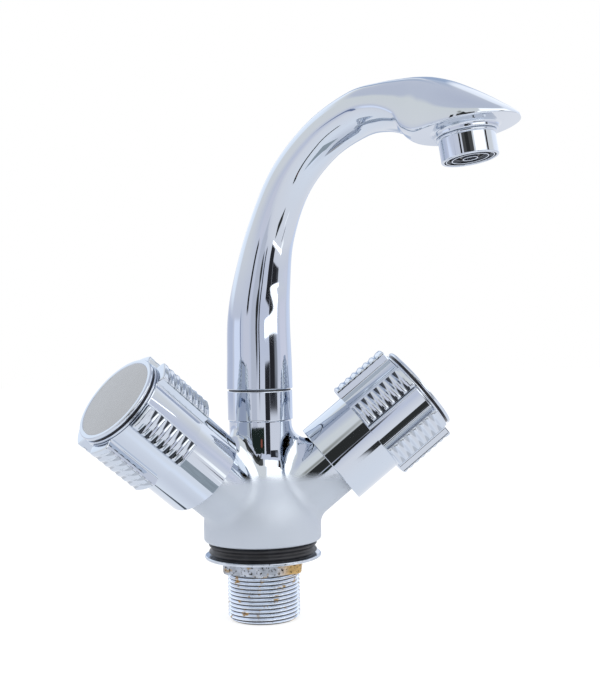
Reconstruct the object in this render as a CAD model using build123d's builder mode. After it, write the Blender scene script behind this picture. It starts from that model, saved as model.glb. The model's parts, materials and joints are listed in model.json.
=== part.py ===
"""Two handle basin mixer tap with a swivel spout, in millimetres.

The tap stands on +Z. Its front is -Y, the origin is where its axis meets the deck, under the
seal, and the hot arm points to -X. The two arms are swept forward and rise to the handles.
"""
import os
from math import cos, radians, sin

from build123d import *

# Mounting shank, seal, washer and backnut
SHANK_R = 14.0
SHANK_BORE_R = 11.6
SHANK_DROP = 25.0
SHANK_SPIGOT_R = 13.2
SHANK_SPIGOT_HEIGHT = 3.6
SHANK_CHAMFER = 1.4
STACK_BORE_R = SHANK_R + 0.3
SEAL_R = 21.0
SEAL_THICKNESS = 5.4
SEAL_GROOVE_DEPTH = 0.9
SEAL_RIDGES = (0.18, 0.36, 0.64, 0.86)
WASHER_R = 22.6
WASHER_THICKNESS = 1.2
BACKNUT_FLATS = 30.0
BACKNUT_THICKNESS = 5.5
BACKNUT_CHAMFER = 1.0
BACKNUT_TURN = 8.0

# Cast body
BELL_R = 22.8
BELL_BOTTOM = SEAL_THICKNESS
BELL_WALL_TOP = 11.0
BELL_EDGE_R = 1.2
NECK_R = 12.1
NECK_START = 41.0
NECK_TOP = 51.6
COLLAR_SPIGOT_R = 10.8
COLLAR_SPIGOT_TOP = 57.0
SOCKET_R = 9.0
SOCKET_FLOOR = 34.0
CHAMBER_R = 7.5
CHAMBER_FLOOR = 26.5
INLET_R = 4.5
INLET_OFFSET = 5.6
INLET_TOP = 19.0

# Arms, measured along each arm from the tap's own axis
ARM_ROOT_HEIGHT = 11.8
ARM_RISE = 39.2
ARM_SWEEP = 17.0
ARM_R = 12.7
ARM_START = 6.0
ARM_END = 37.0
ARM_BORE_R = 9.3
ARM_BORE_START = 13.0
PORT_R = 3.4
PORT_START = 6.0
ARM_FILLET = 6.0

# Headwork, the quarter turn valve in each arm
SEAT_R = 8.4
SEAT_THICKNESS = 2.5
DISC_R = 7.7
DISC_THICKNESS = 2.8
DISC_GAP = 0.05
DISC_PORT_R = 6.2
DISC_PORT_ROOT_R = 1.6
DISC_PORT_ANGLE = 72.0
BONNET_CAVITY_R = 8.0
BONNET_CAVITY_END = 27.0
BONNET_HEX_FLATS = 21.0
BONNET_HEX_HEIGHT = 4.5
BONNET_NOSE_R = 7.0
BONNET_NOSE_END = 50.0
BONNET_WINDOW_WIDTH = 7.0
BONNET_WINDOW_LENGTH = 5.0
SPINDLE_R = 4.9
RUNNING_GAP = 0.05
SPINDLE_FOOT_R = 7.4
SPINDLE_FOOT_HEIGHT = 2.6
SPINDLE_SPLINE_R = 3.95
SPINDLE_TAP_R = 2.0
SPINDLE_TAP_DEPTH = 10.0
SPINDLE_ORING_AT = 36.0
SPINDLE_ORING_R = 0.7
CIRCLIP_AT = 50.3
CIRCLIP_THICKNESS = 1.0
CIRCLIP_R = 6.6
CIRCLIP_SEAT_R = 4.3
CIRCLIP_GAP_WIDTH = 3.0

# Handles, measured from the sleeve's open rim
HANDLE_RIM_AT = 35.0
SLEEVE_R = 17.0
SLEEVE_BORE_R = 15.4
SLEEVE_LENGTH = 19.5
HEAD_R = 17.9
HEAD_TOP = 43.4
HEAD_EDGE_R = 0.5
LOBE_R = 21.5
LOBE_WIDTH = 9.6
LOBE_EDGE_R = 1.0
LOBE_COUNT = 6
RIB_COUNT = 7
RIB_PITCH = 3.05
RIB_R = 1.75
RIB_DEPTH = 0.75
RIB_START = 0.8
HUB_BOTTOM = 24.0
HUB_WEB = 32.0
SCREW_SEAT = 34.0
SCREW_POCKET_R = 5.0
CAP_RECESS_R = 15.0
CAP_RECESS_DEPTH = 4.0
CAP_R = 17.7
CAP_HEIGHT = 3.4
CAP_DOME = 0.7
CAP_GROOVE = 0.45
CAP_GROOVE_SPAN = (1.1, 1.7)
CAP_SKIRT_WALL = 1.4
CAP_SKIRT_DEPTH = 2.8
SCREW_R = 2.0
SCREW_HEAD_R = 3.8
SCREW_HEAD_HEIGHT = 2.4
SCREW_SOCKET_FLATS = 3.0
SCREW_LENGTH = 9.5

# Rest turn of each handle's lobes from the arm's level side, as photographed
HANDLE_ROLL = {"hot": -13.0, "cold": 26.0}
SIDE_SIGN = {"hot": -1, "cold": 1}

# Collar and the spout's swivel
COLLAR_R = 12.6
COLLAR_BOTTOM = NECK_TOP + 0.4
COLLAR_TOP = 63.4
COLLAR_LIP = 59.4
COLLAR_EDGE_R = 0.4
TAIL_R = 8.4
TAIL_BORE_R = 5.6
TAIL_BOTTOM = 35.0
TAIL_TOP = 77.0
TAIL_ORING_AT = (39.0, 45.0)
TAIL_ORING_R = 0.95
RETAINER_AT = 57.4
RETAINER_THICKNESS = 1.6
RETAINER_R = 10.4
RETAINER_SEAT_R = 7.6
RETAINER_GAP_WIDTH = 4.0
SLIP_WASHER_R = 12.0
SLIP_WASHER_THICKNESS = 0.5

# Spout, swung to the right of the tap's front as photographed
SPOUT_SWING = 37.5
SPOUT_BOTTOM = COLLAR_TOP + SLIP_WASHER_THICKNESS + 0.1
SPOUT_BASE_R = 12.8
SPOUT_WATERWAY_R = 4.5
SECTIONS_PER_STATION = 3
OVAL = 0.5523

# Spout sections: round as they rise along the spine, then wider, into a flat bottomed bill.
# Each row is reach, height, lean of the spine from upright, half width, top and bottom.
SPOUT_STATIONS = (
    (0.0, SPOUT_BOTTOM, 0.0, SPOUT_BASE_R, SPOUT_BASE_R, SPOUT_BASE_R),
    (0.0, 75.0, 0.0, 12.5, 12.5, 12.7),
    (0.1, 91.0, 3.0, 12.0, 12.0, 12.3),
    (1.9, 105.0, 11.0, 10.9, 10.9, 11.3),
    (6.8, 124.0, 22.0, 9.2, 9.3, 9.2),
    (16.2, 143.0, 36.0, 8.6, 8.7, 8.2),
    (30.3, 157.0, 55.0, 8.8, 8.5, 8.1),
    (46.0, 164.6, 76.0, 9.8, 8.9, 8.3),
    (57.0, 165.2, 88.0, 10.8, 9.7, 7.9),
    (65.6, 161.8, 92.0, 12.0, 13.2, 6.8),
    (70.0, 156.8, 94.0, 13.8, 18.0, 5.2),
    (76.0, 153.8, 94.0, 16.4, 20.0, 3.8),
    (84.0, 154.2, 92.0, 18.2, 17.2, 2.4),
    (92.0, 155.4, 90.0, 18.0, 12.4, 2.2),
    (98.0, 156.3, 88.0, 15.8, 8.3, 2.0),
    (103.0, 157.0, 86.0, 11.6, 4.5, 1.6),
    (106.0, 157.3, 85.0, 6.8, 2.2, 1.2),
    (107.6, 157.5, 84.0, 1.6, 0.5, 0.5),
)

# Points of the waterway's middle line between the tail and the outlet, as reach and height
WATERWAY = ((6.8, 124.0), (30.3, 157.0), (57.0, 163.8), (76.0, 161.2))

# Bill and boss at the outlet
BILL_TILT = 9.0
BILL_REACH = 88.3
BILL_HEIGHT = 154.3
BILL_CUT_R = 24.0
BOSS_R = 11.2
BOSS_DROP = 2.0
BOSS_BORE_R = 8.8
BOSS_BORE_DEPTH = 6.5

# Aerator, measured down from the boss's lower face
AERATOR_R = 10.0
AERATOR_FLANGE_R = 10.6
AERATOR_FLANGE_HEIGHT = 1.0
AERATOR_HEIGHT = 8.6
AERATOR_THREAD_LENGTH = 4.5
AERATOR_BORE_R = 7.4
AERATOR_MOUTH_R = 9.0
AERATOR_MOUTH_DEPTH = 5.6
AERATOR_RECESS = 1.1
AERATOR_INSERT_DEPTH = 4.0
AERATOR_RING_WIDTH = 0.9
AERATOR_RING_RADII = (2.4, 4.8, 7.2)
AERATOR_SEAL_THICKNESS = 1.5
AERATOR_SEAL_BORE_R = 6.4

DOWN = Vector(0, 0, -1)


def arm_direction(side):
    """Unit vector out along an arm."""
    sweep, rise = radians(ARM_SWEEP), radians(ARM_RISE)
    return Vector(SIDE_SIGN[side] * cos(sweep) * cos(rise), -sin(sweep) * cos(rise), sin(rise))


def arm_level(side):
    """Unit vector that is level, square to the arm, and towards the front."""
    sweep = radians(ARM_SWEEP)
    return Vector(-SIDE_SIGN[side] * sin(sweep), -cos(sweep), 0)


def arm_point(side, along):
    """Point on an arm's axis."""
    return Vector(0, 0, ARM_ROOT_HEIGHT) + arm_direction(side) * along


def arm_axis(side):
    """Axis of an arm, out from the tap."""
    return Axis(arm_point(side, 0), arm_direction(side))


def arm_plane(side, along, roll=0.0):
    """Plane square to an arm, whose X points to a lobe turned by roll from level towards up."""
    level = arm_level(side)
    up = level.cross(arm_direction(side)) * SIDE_SIGN[side]
    lobe = level * cos(radians(roll)) + up * sin(radians(roll))
    return Plane(origin=arm_point(side, along), x_dir=lobe, z_dir=arm_direction(side))


def arm_section(side, along=0.0):
    """Plane that holds an arm's axis, with X out from the axis and Y along it."""
    level = arm_level(side)
    return Plane(origin=arm_point(side, along), x_dir=level, z_dir=level.cross(arm_direction(side)))


def arm_distance(side, point):
    """Distance of a point from an arm's axis."""
    along = point - arm_point(side, 0)
    return (along - arm_direction(side) * along.dot(arm_direction(side))).length


def spout_outward():
    """Unit vector level from the tap's axis towards the outlet."""
    swing = radians(SPOUT_SWING)
    return Vector(sin(swing), -cos(swing), 0)


def spout_across():
    """Unit vector level and square to the spout."""
    return Vector(0, 0, 1).cross(spout_outward())


def spout_point(reach, height):
    """Point in the spout's own upright plane."""
    return spout_outward() * reach + Vector(0, 0, height)


def spout_section():
    """The spout's upright plane, with X out along the reach and Y up."""
    return Plane(origin=(0, 0, 0), x_dir=spout_outward(), z_dir=spout_across() * -1)


def outlet_plane(drop=0.0):
    """Plane square to the outlet, drop below the flat underside, with Z along the water."""
    tilt = radians(BILL_TILT)
    water = spout_outward() * sin(tilt) + DOWN * cos(tilt)
    return Plane(origin=spout_point(BILL_REACH, BILL_HEIGHT) + water * drop,
                 x_dir=spout_across(), z_dir=water)


def outlet_section():
    """Plane that holds the outlet's axis, with X out from the axis and Y along the water."""
    level = outlet_plane()
    return Plane(origin=level.origin, x_dir=level.x_dir, z_dir=level.x_dir.cross(level.z_dir))


def outlet_axis():
    """Axis of the outlet, along the water."""
    return Axis(outlet_plane().origin, outlet_plane().z_dir)


def closed_profile(*points):
    """Closed straight sided face through the points, inside an open sketch."""
    with BuildLine() as outline:
        Polyline(*points, close=True)
    make_face(outline.edges())


def save(part, name):
    """Label a finished part and write it as one STEP file."""
    part.label = name
    export_step(part, f"parts/{name}.step")


def ring(radius, wire, height, side=None):
    """An O-ring lying square to the tap's axis, or to an arm's axis."""
    section = Plane.XZ if side is None else arm_section(side)
    with BuildPart() as o_ring:
        with BuildSketch(section):
            with Locations((radius, height)):
                Circle(wire)
        revolve(axis=Axis.Z if side is None else arm_axis(side))
    return o_ring.part


os.makedirs("parts", exist_ok=True)

# Body casting: a bell with a neck, two hollow arms and the waterways between them
with BuildPart() as body_casting:
    with BuildSketch(Plane.XZ):
        with BuildLine():
            wall_start = BELL_BOTTOM + BELL_EDGE_R
            Line((0, BELL_BOTTOM), (BELL_R - BELL_EDGE_R, BELL_BOTTOM))
            TangentArc((BELL_R - BELL_EDGE_R, BELL_BOTTOM), (BELL_R, wall_start), tangent=(1, 0))
            Line((BELL_R, wall_start), (BELL_R, BELL_WALL_TOP))
            Spline((BELL_R, BELL_WALL_TOP), (NECK_R, NECK_START), tangents=[(0, 1), (0, 1)])
            Line((NECK_R, NECK_START), (NECK_R, NECK_TOP))
            Line((NECK_R, NECK_TOP), (0, NECK_TOP))
            Line((0, NECK_TOP), (0, BELL_BOTTOM))
        make_face()
    revolve(axis=Axis.Z)
    bell_edges = body_casting.edges()
    for side in SIDE_SIGN:
        with BuildSketch(arm_plane(side, ARM_START)):
            Circle(ARM_R)
        extrude(amount=ARM_END - ARM_START)
    saddles = (body_casting.edges() - bell_edges).filter_by(GeomType.BSPLINE)
    fillet(saddles, ARM_FILLET)
    with BuildSketch(Plane.XY.offset(NECK_TOP)):
        Circle(COLLAR_SPIGOT_R)
    extrude(amount=COLLAR_SPIGOT_TOP - NECK_TOP)
    with BuildSketch(Plane.XY.offset(SOCKET_FLOOR)):
        Circle(SOCKET_R)
    extrude(amount=COLLAR_SPIGOT_TOP - SOCKET_FLOOR, mode=Mode.SUBTRACT)
    with BuildSketch(Plane.XY.offset(CHAMBER_FLOOR)):
        Circle(CHAMBER_R)
    extrude(amount=SOCKET_FLOOR - CHAMBER_FLOOR, mode=Mode.SUBTRACT)
    for side in SIDE_SIGN:
        with BuildSketch(arm_plane(side, ARM_BORE_START)):
            Circle(ARM_BORE_R)
        extrude(amount=ARM_END - ARM_BORE_START, mode=Mode.SUBTRACT)
        with BuildSketch(arm_plane(side, PORT_START)):
            Circle(PORT_R)
        extrude(amount=ARM_BORE_START - PORT_START, mode=Mode.SUBTRACT)
        with BuildSketch(Plane.XY.offset(BELL_BOTTOM)):
            with Locations((SIDE_SIGN[side] * INLET_OFFSET, 0)):
                Circle(INLET_R)
        extrude(amount=INLET_TOP - BELL_BOTTOM, mode=Mode.SUBTRACT)
    with BuildSketch(Plane.XY.offset(BELL_BOTTOM)):
        Circle(SHANK_SPIGOT_R)
    extrude(amount=SHANK_SPIGOT_HEIGHT, mode=Mode.SUBTRACT)
save(body_casting.part, "body_casting")

# Mounting shank: a hollow threaded tube that the two hoses pass through
with BuildPart() as mounting_shank:
    with BuildSketch(Plane.XY.offset(-SHANK_DROP)):
        Circle(SHANK_R)
    extrude(amount=SHANK_DROP + BELL_BOTTOM)
    chamfer(mounting_shank.edges().group_by(Axis.Z)[0], SHANK_CHAMFER)
    with BuildSketch(Plane.XY.offset(BELL_BOTTOM)):
        Circle(SHANK_SPIGOT_R)
    extrude(amount=SHANK_SPIGOT_HEIGHT)
    with BuildSketch(Plane.XY.offset(-SHANK_DROP)):
        Circle(SHANK_BORE_R)
    extrude(amount=SHANK_DROP + BELL_BOTTOM + SHANK_SPIGOT_HEIGHT, mode=Mode.SUBTRACT)
save(mounting_shank.part, "mounting_shank")

# Deck seal: a rubber ring with two ridges round its edge
with BuildPart() as deck_seal:
    with BuildSketch(Plane.XZ):
        valley = SEAL_R - SEAL_GROOVE_DEPTH
        ridges = [SEAL_THICKNESS * part for part in SEAL_RIDGES]
        closed_profile(
            (STACK_BORE_R, 0), (valley, 0), (SEAL_R, ridges[0]), (SEAL_R, ridges[1]),
            (valley, SEAL_THICKNESS / 2), (SEAL_R, ridges[2]), (SEAL_R, ridges[3]),
            (valley, SEAL_THICKNESS), (STACK_BORE_R, SEAL_THICKNESS))
    revolve(axis=Axis.Z)
save(deck_seal.part, "deck_seal")

# Clamp washer: thin pressed steel with a rounded outer edge
with BuildPart() as clamp_washer:
    with BuildSketch(Plane.XY.offset(-WASHER_THICKNESS)):
        Circle(WASHER_R)
        Circle(STACK_BORE_R, mode=Mode.SUBTRACT)
    extrude(amount=WASHER_THICKNESS)
    outer_edges = clamp_washer.edges().filter_by(GeomType.CIRCLE).sort_by(SortBy.RADIUS)[-2:]
    fillet(outer_edges, WASHER_THICKNESS * 0.4)
save(clamp_washer.part, "clamp_washer")

# Backnut: a cast hexagon with chamfered corners
BACKNUT_TOP = -WASHER_THICKNESS
with BuildPart() as backnut:
    with BuildSketch(Plane.XY.offset(BACKNUT_TOP - BACKNUT_THICKNESS)):
        RegularPolygon(BACKNUT_FLATS / 2, 6, major_radius=False, rotation=BACKNUT_TURN)
        Circle(SHANK_R, mode=Mode.SUBTRACT)
    extrude(amount=BACKNUT_THICKNESS)
    with BuildSketch(Plane.XZ):
        corner = BACKNUT_FLATS / 2 / cos(radians(30))
        closed_profile(
            (SHANK_R, BACKNUT_TOP), (corner, BACKNUT_TOP),
            (corner, BACKNUT_TOP - BACKNUT_THICKNESS + BACKNUT_CHAMFER),
            (corner - 2 * BACKNUT_CHAMFER, BACKNUT_TOP - BACKNUT_THICKNESS),
            (SHANK_R, BACKNUT_TOP - BACKNUT_THICKNESS))
    revolve(axis=Axis.Z, mode=Mode.INTERSECT)
save(backnut.part, "backnut")

# Spout collar: the screwed ring that traps the spout's retaining ring
with BuildPart() as spout_collar:
    with BuildSketch(Plane.XZ):
        closed_profile(
            (COLLAR_SPIGOT_R, COLLAR_BOTTOM), (COLLAR_R, COLLAR_BOTTOM), (COLLAR_R, COLLAR_TOP),
            (TAIL_R + RUNNING_GAP, COLLAR_TOP), (TAIL_R + RUNNING_GAP, COLLAR_LIP),
            (COLLAR_SPIGOT_R, COLLAR_LIP))
    revolve(axis=Axis.Z)
    rims = spout_collar.edges().filter_by(GeomType.CIRCLE).sort_by(SortBy.RADIUS)[-2:]
    fillet(rims, COLLAR_EDGE_R)
save(spout_collar.part, "spout_collar")

# Slip washer between the collar and the turning spout
with BuildPart() as slip_washer:
    with BuildSketch(Plane.XY.offset(COLLAR_TOP)):
        Circle(SLIP_WASHER_R)
        Circle(TAIL_R + RUNNING_GAP, mode=Mode.SUBTRACT)
    extrude(amount=SLIP_WASHER_THICKNESS)
save(slip_washer.part, "slip_washer")



def spout_station(at):
    """Row of SPOUT_STATIONS at a whole or part number, by a cubic curve through its neighbours."""
    first = min(int(at), len(SPOUT_STATIONS) - 2)
    part = at - first
    last_row = len(SPOUT_STATIONS) - 1
    rows = [SPOUT_STATIONS[min(max(first + step, 0), last_row)] for step in (-1, 0, 1, 2)]
    blended = []
    for before, start, end, after in zip(*rows):
        leaving, arriving = (end - before) / 2, (after - start) / 2
        value = start * (2 * part**3 - 3 * part**2 + 1) + leaving * (part**3 - 2 * part**2 + part)
        blended.append(value + end * (3 * part**2 - 2 * part**3) + arriving * (part**3 - part**2))
    return blended


def oval(half_width, top, bottom):
    """Closed oval of four quarter curves, whose upper and lower halves differ in height."""
    quarters = ((1, top, 1), (-1, top, 1), (-1, bottom, -1), (1, bottom, -1))
    with BuildLine() as outline:
        for across, rise, sign in quarters:
            Bezier((across * half_width, 0), (across * half_width, sign * OVAL * rise),
                   (across * OVAL * half_width, sign * rise), (0, sign * rise))
    make_face(outline.edges())


# Spout: lofted through the sections, cut flat under the bill, with the boss and the waterway
with BuildPart() as spout:
    for step in range((len(SPOUT_STATIONS) - 1) * SECTIONS_PER_STATION + 1):
        reach, height, lean, half_width, top, bottom = spout_station(step / SECTIONS_PER_STATION)
        spine = spout_outward() * sin(radians(lean)) + Vector(0, 0, cos(radians(lean)))
        with BuildSketch(Plane(origin=spout_point(reach, height), x_dir=spout_across(), z_dir=spine)):
            oval(half_width, top, bottom)
    loft()
    with BuildSketch(outlet_plane()):
        Circle(BILL_CUT_R)
    extrude(amount=BOSS_R, mode=Mode.SUBTRACT)
    with BuildSketch(outlet_plane(-BOSS_BORE_DEPTH)):
        Circle(BOSS_R)
    extrude(amount=BOSS_BORE_DEPTH + BOSS_DROP)
    with BuildSketch(outlet_plane(-BOSS_BORE_DEPTH)):
        Circle(BOSS_BORE_R)
    extrude(amount=BOSS_BORE_DEPTH + BOSS_DROP, mode=Mode.SUBTRACT)
    with BuildSketch(Plane.XY.offset(SPOUT_BOTTOM)):
        Circle(TAIL_R)
    extrude(amount=TAIL_TOP - SPOUT_BOTTOM, mode=Mode.SUBTRACT)
    with BuildLine(spout_section()) as waterway:
        Spline((0, TAIL_TOP), *WATERWAY, (BILL_REACH, BILL_HEIGHT), tangents=[(0, 1), (1, -1)])
    with BuildSketch(Plane.XY.offset(TAIL_TOP)):
        Circle(SPOUT_WATERWAY_R)
    sweep(path=waterway.line, mode=Mode.SUBTRACT)
save(spout.part, "spout")

# Spout tail: the turned tube that swivels in the body's socket
with BuildPart() as spout_tail:
    with BuildSketch(Plane.XY.offset(TAIL_BOTTOM)):
        Circle(TAIL_R)
    extrude(amount=TAIL_TOP - TAIL_BOTTOM)
    groove_root = SOCKET_R - 2 * TAIL_ORING_R - RUNNING_GAP
    groove_half = TAIL_ORING_R + RUNNING_GAP * 3
    for at in TAIL_ORING_AT:
        with BuildSketch(Plane.XY.offset(at - groove_half)):
            Circle(TAIL_R)
            Circle(groove_root, mode=Mode.SUBTRACT)
        extrude(amount=2 * groove_half, mode=Mode.SUBTRACT)
    with BuildSketch(Plane.XY.offset(RETAINER_AT)):
        Circle(TAIL_R)
        Circle(RETAINER_SEAT_R, mode=Mode.SUBTRACT)
    extrude(amount=RETAINER_THICKNESS, mode=Mode.SUBTRACT)
    with BuildSketch(Plane.XY.offset(TAIL_BOTTOM)):
        Circle(TAIL_BORE_R)
    extrude(amount=TAIL_TOP - TAIL_BOTTOM, mode=Mode.SUBTRACT)
save(spout_tail.part, "spout_tail")

for name, at in zip(("spout_oring_lower", "spout_oring_upper"), TAIL_ORING_AT):
    save(ring(SOCKET_R - RUNNING_GAP - TAIL_ORING_R, TAIL_ORING_R, at), name)

# Retaining ring: a split ring that snaps into the tail's groove under the collar's lip
with BuildPart() as spout_retaining_ring:
    with BuildSketch(Plane.XY.offset(RETAINER_AT)):
        Circle(RETAINER_R)
        Circle(RETAINER_SEAT_R, mode=Mode.SUBTRACT)
        with Locations((0, RETAINER_R)):
            Rectangle(RETAINER_GAP_WIDTH, 2 * RETAINER_R, mode=Mode.SUBTRACT)
    extrude(amount=RETAINER_THICKNESS)
save(spout_retaining_ring.part, "spout_retaining_ring")

# Aerator: a chromed housing, the plastic insert that mixes in air, and its flat seal
BOSS_FACE = BOSS_DROP
with BuildPart() as aerator_housing:
    with BuildSketch(outlet_section()):
        seal_floor = BOSS_FACE - AERATOR_THREAD_LENGTH
        mouth = BOSS_FACE + AERATOR_HEIGHT
        closed_profile(
            (AERATOR_BORE_R, seal_floor), (BOSS_BORE_R, seal_floor), (BOSS_BORE_R, BOSS_FACE),
            (AERATOR_FLANGE_R, BOSS_FACE), (AERATOR_FLANGE_R, BOSS_FACE + AERATOR_FLANGE_HEIGHT),
            (AERATOR_R, BOSS_FACE + AERATOR_FLANGE_HEIGHT), (AERATOR_R, mouth),
            (AERATOR_MOUTH_R, mouth), (AERATOR_MOUTH_R, mouth - AERATOR_MOUTH_DEPTH),
            (AERATOR_BORE_R, mouth - AERATOR_MOUTH_DEPTH))
    revolve(axis=outlet_axis())
save(aerator_housing.part, "aerator_housing")

with BuildPart() as aerator_insert:
    top = mouth - AERATOR_RECESS - AERATOR_INSERT_DEPTH
    with BuildSketch(outlet_plane(top)):
        Circle(AERATOR_MOUTH_R)
    extrude(amount=AERATOR_INSERT_DEPTH)
    groove_width = AERATOR_RING_RADII[1] - AERATOR_RING_RADII[0] - AERATOR_RING_WIDTH
    with BuildSketch(outlet_plane(top + AERATOR_INSERT_DEPTH / 2)):
        for radius in AERATOR_RING_RADII:
            Circle(radius + groove_width / 2)
            Circle(radius - groove_width / 2, mode=Mode.SUBTRACT)
    extrude(amount=AERATOR_INSERT_DEPTH, mode=Mode.SUBTRACT)
save(aerator_insert.part, "aerator_insert")

with BuildPart() as aerator_seal:
    with BuildSketch(outlet_plane(seal_floor - AERATOR_SEAL_THICKNESS)):
        Circle(BOSS_BORE_R)
        Circle(AERATOR_SEAL_BORE_R, mode=Mode.SUBTRACT)
    extrude(amount=AERATOR_SEAL_THICKNESS)
save(aerator_seal.part, "aerator_seal")


def headwork(side):
    """The quarter turn valve in one arm: bonnet, seals, ceramic discs and spindle."""
    seat_top = ARM_BORE_START + SEAT_THICKNESS
    fixed_top = seat_top + DISC_THICKNESS
    moving_bottom = fixed_top + DISC_GAP
    moving_top = moving_bottom + DISC_THICKNESS
    foot_top = moving_top + SPINDLE_FOOT_HEIGHT
    hex_top = ARM_END + BONNET_HEX_HEIGHT
    spline_start = HANDLE_RIM_AT + HUB_BOTTOM
    spindle_top = HANDLE_RIM_AT + HUB_WEB

    # Rubber seat that presses the fixed disc against the port
    with BuildPart() as seat_washer:
        with BuildSketch(arm_plane(side, ARM_BORE_START)):
            Circle(SEAT_R)
            Circle(PORT_R, mode=Mode.SUBTRACT)
        extrude(amount=SEAT_THICKNESS)
    save(seat_washer.part, f"{side}_seat_washer")

    # Two ceramic discs, each with a pair of quarter ports; the upper one turns
    for name, bottom, turn in (("fixed_disc", seat_top, 0), ("moving_disc", moving_bottom, 90)):
        with BuildPart() as disc:
            with BuildSketch(arm_plane(side, bottom, turn)):
                Circle(DISC_R)
                for middle in (0, 180):
                    start = middle - DISC_PORT_ANGLE / 2
                    with BuildLine():
                        outer = CenterArc((0, 0), DISC_PORT_R, start, DISC_PORT_ANGLE)
                        inner = CenterArc((0, 0), DISC_PORT_ROOT_R, start, DISC_PORT_ANGLE)
                        Line(outer @ 0, inner @ 0)
                        Line(outer @ 1, inner @ 1)
                    make_face(mode=Mode.SUBTRACT)
            extrude(amount=DISC_THICKNESS)
        save(disc.part, f"{side}_{name}")

    # Brass bonnet that screws into the arm and carries the spindle
    with BuildPart() as bonnet:
        with BuildSketch(arm_section(side)):
            closed_profile(
                (BONNET_CAVITY_R, seat_top), (ARM_BORE_R, seat_top), (ARM_BORE_R, ARM_END),
                (BONNET_HEX_FLATS, ARM_END), (BONNET_HEX_FLATS, hex_top), (BONNET_NOSE_R, hex_top),
                (BONNET_NOSE_R, BONNET_NOSE_END), (SPINDLE_R + RUNNING_GAP, BONNET_NOSE_END),
                (SPINDLE_R + RUNNING_GAP, BONNET_CAVITY_END), (BONNET_CAVITY_R, BONNET_CAVITY_END))
        revolve(axis=arm_axis(side))
        with BuildSketch(arm_plane(side, ARM_END)):
            Circle(2 * BONNET_HEX_FLATS)
            RegularPolygon(BONNET_HEX_FLATS / 2, 6, major_radius=False, mode=Mode.SUBTRACT)
        extrude(amount=BONNET_HEX_HEIGHT, mode=Mode.SUBTRACT)
        with BuildSketch(arm_plane(side, moving_bottom)):
            Rectangle(BONNET_WINDOW_WIDTH, 3 * ARM_BORE_R)
        extrude(amount=BONNET_WINDOW_LENGTH, mode=Mode.SUBTRACT)
    save(bonnet.part, f"{side}_bonnet")

    # Spindle with its driving foot, two grooves, the splined end and the tapped hole
    oring_root = SPINDLE_R - 2 * SPINDLE_ORING_R
    groove_half = SPINDLE_ORING_R + RUNNING_GAP
    with BuildPart() as spindle:
        with BuildSketch(arm_section(side)):
            closed_profile(
                (0, moving_top), (SPINDLE_FOOT_R, moving_top), (SPINDLE_FOOT_R, foot_top),
                (SPINDLE_R, foot_top), (SPINDLE_R, SPINDLE_ORING_AT - groove_half),
                (oring_root, SPINDLE_ORING_AT - groove_half), (oring_root, SPINDLE_ORING_AT + groove_half),
                (SPINDLE_R, SPINDLE_ORING_AT + groove_half), (SPINDLE_R, CIRCLIP_AT),
                (CIRCLIP_SEAT_R, CIRCLIP_AT), (CIRCLIP_SEAT_R, CIRCLIP_AT + CIRCLIP_THICKNESS),
                (SPINDLE_R, CIRCLIP_AT + CIRCLIP_THICKNESS), (SPINDLE_R, spline_start),
                (SPINDLE_SPLINE_R, spline_start), (SPINDLE_SPLINE_R, spindle_top), (0, spindle_top))
        revolve(axis=arm_axis(side))
        with BuildSketch(arm_plane(side, spindle_top - SPINDLE_TAP_DEPTH)):
            Circle(SPINDLE_TAP_R)
        extrude(amount=SPINDLE_TAP_DEPTH, mode=Mode.SUBTRACT)
    save(spindle.part, f"{side}_spindle")
    save(ring(SPINDLE_R - SPINDLE_ORING_R, SPINDLE_ORING_R, SPINDLE_ORING_AT, side), f"{side}_spindle_oring")

    # Circlip that keeps the spindle from being pushed in
    with BuildPart() as circlip:
        with BuildSketch(arm_plane(side, CIRCLIP_AT)):
            Circle(CIRCLIP_R)
            Circle(CIRCLIP_SEAT_R, mode=Mode.SUBTRACT)
            with Locations((CIRCLIP_R, 0)):
                Rectangle(2 * CIRCLIP_R, CIRCLIP_GAP_WIDTH, mode=Mode.SUBTRACT)
        extrude(amount=CIRCLIP_THICKNESS)
    save(circlip.part, f"{side}_circlip")


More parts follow.
